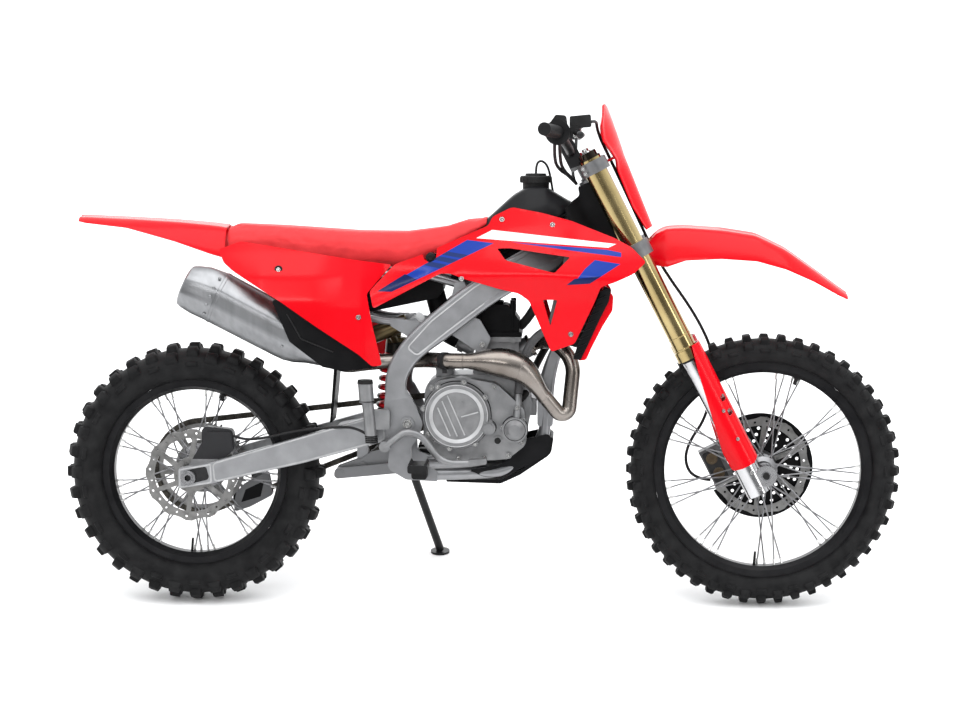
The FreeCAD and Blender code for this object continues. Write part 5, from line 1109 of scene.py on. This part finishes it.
def screw(shape, at, out, radius, hexagon=True):
    """A flanged screw head at a point of the upright bike, looking out along its axis."""
    stand = standing(at, out)
    round_bar(shape, stand @ Matrix.Translation((0, 0, radius * 0.14)), 16, radius, radius * 0.92,
              radius * 0.28)
    crown = round_bar(shape, stand @ Matrix.Translation((0, 0, radius * 0.58)), 6 if hexagon else 14,
                      radius * 0.72, radius * (0.70 if hexagon else 0.52), radius * 0.62)
    tip = max({f for v in crown for f in v.link_faces},
              key=lambda f: (f.calc_center_median() - Vector(at)).dot(Vector(out)))
    bmesh.ops.inset_individual(shape, faces=[tip], thickness=radius * 0.24)
    bmesh.ops.translate(shape, vec=Vector(out).normalized() * (-radius * 0.3), verts=list(tip.verts))


frame_screws = bmesh.new()
grommet_x, grommet_z = 0.2405, 0.877
grommet_y = between_stations(panel_stations, grommet_x, grommet_z)
for x, y, z, circle, count, first, size in (
        (lid_x, -0.130, lid_z, 0.086, 8, 12, 0.0062), (pump_x, -0.128, pump_z, 0.032, 3, 40, 0.0052),
        (0.770, 0.104, 0.480, 0.079, 6, 20, 0.006)):
    for i in range(count):
        turn = radians(360 / count * i + first)
        screw(frame_screws, (x + circle * sin(turn), y, z + circle * cos(turn)), (0, copysign(1, y), 0), size)
for x, z in ((0.626, 0.574), (0.786, 0.578), (0.844, 0.524), (0.856, 0.436), (0.822, 0.402), (0.760, 0.396),
             (0.694, 0.394), (0.634, 0.440)):
    screw(frame_screws, (x, -0.117, z), (0, -1, 0), 0.0062)
for side in (-1, 1):
    for x, y, z, size in ((0.564, 0.126, 0.483, 0.013), (0.754, 0.104, 0.684, 0.0075),
                          (0.690, 0.098, 0.738, 0.006)):
        screw(frame_screws, (x, side * y, z), (0, side, 0), size)
    for x, z in ((0.8043, 1.0036), (0.9321, 0.9906), (0.7034, 0.8547), (0.9792, 0.7179)):
        screw(frame_screws, (x, side * between_stations(shroud_stations, x, z), z), (0, side, 0.05), 0.0068,
              False)
    screw(frame_screws, (0.4433, side * between_stations(panel_stations, 0.4433, 0.757), 0.757),
          (0, side, 0.02), 0.007, False)
    screw(frame_screws, (grommet_x, side * (grommet_y + 0.001), grommet_z), (0, side, 0.1), 0.0056, False)
bike_piece("frame_screws", frame_screws, "chassis", plated, 35)
grommets = bmesh.new()
for side in (-1, 1):
    rest = Vector((grommet_x, side * grommet_y, grommet_z))
    round_bar(grommets, laid(rest, -side * pi / 2 - 0.1 * side, "X"), 28, 0.0105, 0.0095, 0.003)
bike_piece("panel_grommets", grommets, "chassis", black_rubber, 40)
# In each shroud's notch, a black boss and ring for the seat's bolt: their black is painted shade of the
# recess round the bolt.
bolt_recess_shade = bmesh.new()
for side in (-1, 1):
    round_bar(bolt_recess_shade, laid((0.623, side * 0.103, 0.9075), pi / 2, "X"), 24, 0.0115, 0.0115, 0.036)
    bead(bolt_recess_shade, Vector((0.623, side * 0.1212, 0.9075)), (0, 1, 0), 0.0060, 0.0018, 24)
bike_piece("seat_bolt_recess_shade", bolt_recess_shade, "chassis", black_rubber, 40)
fork_screws = bmesh.new()
for side in (-1, 1):
    for z in (0.070, 0.084, -0.150, -0.172):
        at = head @ Vector((-0.004, side * 0.139, z))
        screw(fork_screws, at, head.to_3x3() @ Vector((-0.3, side, 0)), 0.0052)
    for x, z in ((0.030, -0.795), (0.030, -0.840)):
        screw(fork_screws, head @ Vector((x, side * 0.1305, z)), (0, side, 0), 0.0055)
    for z in (-0.620, -0.700):
        screw(fork_screws, head @ Vector((0.036, side * 0.1385, z)), head.to_3x3() @ Vector((0.3, side, 0)),
              0.005, False)
    screw(fork_screws, head @ Vector((tube_x, side * tube_y, 0.116)), head.col[2].xyz, 0.012)
screw(fork_screws, head @ Vector((0, 0, 0.108)), head.col[2].xyz, 0.017)
for side in (-1, 1):
    screw(fork_screws, (0.990, side * 0.2625, 1.2135), (0, side, 0), 0.0075)
bike_piece("fork_screws", fork_screws, "steering", plated, 35)

# The exhaust header: bare titanium tube, hydroformed where it swells, browned by heat. It has raised
# weld beads, and a black clamp where it enters the silencer's pipe.
titanium = finish("titanium", (0.13, 0.112, 0.098), (0.24, 0.218, 0.200), 1.0, 0.26, 9, 700, 0.05)
dress(titanium, "exhaust_header")
beads = bmesh.new()
for at, out, radius in (((0.745, -0.134, 0.645), (1, 0, 0), 0.0245),
                        ((0.706, -0.1302, 0.645), (1, 0, 0), 0.0200),
                        ((0.914, -0.117, 0.553), (-0.62, -0.25, 0.75), 0.0190),
                        ((0.852, -0.1335, 0.6275), (-0.93, 0, 0.36), 0.0356)):
    bead(beads, Vector(at), out, radius, 0.0014, 40)
bike_piece("exhaust_beads", beads, "chassis", titanium, 60)
clamp = bmesh.new()
around = Vector((0.660, -0.1245, 0.645))
lie = standing(around, (0.72, -0.69, 0.03))
round_bar(clamp, lie, 36, 0.0222, 0.0222, 0.014)
block(clamp, Matrix.Translation(around + Vector((0, -0.002, -0.026))), (0.012, 0.018, 0.010))
bike_piece("exhaust_clamp", clamp, "chassis", black_steel, 40)

# The rear brake hose, clipped along the right arm from the pedal's cylinder to the caliper, and the
# cooling hoses between the radiators and the engine.
for name, radius, material, route in (
        ("rear_brake_hose", 0.0035, hose_rubber,
         [(0.470, -0.140, 0.452), (0.436, -0.128, 0.474), (0.380, -0.098, 0.470), (0.280, -0.100, 0.462),
          (0.190, -0.104, 0.440), (0.130, -0.098, 0.436), (0.096, -0.086, 0.452)]),
        ("top_radiator_hose", 0.012, black_rubber,
         [(0.966, -0.118, 0.890), (0.940, -0.086, 0.862), (0.900, -0.060, 0.800), (0.868, -0.040, 0.744),
          (0.850, -0.024, 0.726)]),
        ("cross_radiator_hose", 0.010, black_rubber,
         [(0.956, 0.112, 0.716), (0.930, 0.070, 0.690), (0.900, 0.050, 0.640), (0.880, 0.020, 0.600),
          (0.872, -0.050, 0.560), (0.852, -0.090, 0.545)]),
        ("plug_lead", 0.0035, black_rubber,
         [(0.792, 0.0, 0.790), (0.800, -0.004, 0.812), (0.840, -0.020, 0.818), (0.880, -0.036, 0.800),
          (0.908, -0.034, 0.770)])):
    hose(name, route, radius, material, "chassis")

# The radiators: black finned cores between the spars. Slatted black guards turn the air into them,
# and a red air guide closes each shroud's front edge.
slats = bmesh.new()
for side in (-1, 1):
    for i in range(9):
        foot = Vector((0.982, side * 0.128, 0.690)) + Vector((0.040, 0, 0.170)) * ((i + 0.5) / 9)
        lie = laid(foot, radians(side * 26), "Z") @ Matrix.Rotation(radians(-12), 4, "Y")
        block(slats, lie, (0.024, 0.062, 0.0022))
    for y in (0.100, 0.156):
        lie = laid((1.002, side * y, 0.775), radians(13))
        block(slats, lie, (0.024, 0.004, 0.182))
bike_piece("radiator_slats", slats, "chassis", black_plastic, 30)
louvre_outline = [(1.062, 0.838), (1.040, 0.792), (0.996, 0.690), (0.985, 0.655), (1.004, 0.652),
                  (1.022, 0.690), (1.052, 0.756), (1.074, 0.800), (1.080, 0.832)]
guide_outline = [(1.060, 0.846), (1.086, 0.812), (1.084, 0.776), (1.060, 0.738), (1.030, 0.680),
                 (1.018, 0.652), (0.998, 0.650), (1.010, 0.690), (1.040, 0.762), (1.062, 0.806)]
louvre = moulding(louvre_outline, [], lambda x, z: 0.166, 0.003, 0.003, step=0.006, soften=0, edge=0.0008)
for i in range(9):
    foot = Vector((0.998, 0.169, 0.668)) + Vector((0.066, 0, 0.160)) * (i / 8)
    lie = laid(foot, radians(-24))
    block(louvre, lie, (0.026, 0.006, 0.0024))
both_sides("shroud_louvre", louvre, "chassis", black_plastic, 30)
air_guide = moulding(guide_outline, [], lambda x, z: 0.160 - max(0.0, x - 1.03) * 0.3, 0.003, 0.005,
                     step=0.006, soften=1, edge=0.0009)
both_sides("air_guide", air_guide, "chassis", red_plastic, 30)
radiator_core = finish("radiator_core", (0.05, 0.05, 0.052), (0.16, 0.16, 0.165), 0.7, 0.5, 300, 600, 0.6,
                       (1, 1, 30))
dress(radiator_core, "radiators")

# The shock: a dark body with a bronze reservoir and a red coil spring, on cast alloy links.
shock_metal = finish("shock_metal", (0.016, 0.015, 0.013), (0.034, 0.031, 0.027), 0.7, 0.34, 22, 900, 0.1)
print_on(shock_metal, ((0.42, 0.004, 0.008), (0.478, 0.466), (0.530, 0.462), (0.556, 0.650), (0.494, 0.656)),
         ((0.085, 0.064, 0.030), (0.440, 0.672), (0.600, 0.690), (0.600, 0.800), (0.440, 0.800)),
         ((0.17, 0.172, 0.177), (0.350, 0.310), (0.565, 0.330), (0.560, 0.420), (0.360, 0.372)))
dress(shock_metal, "shock")
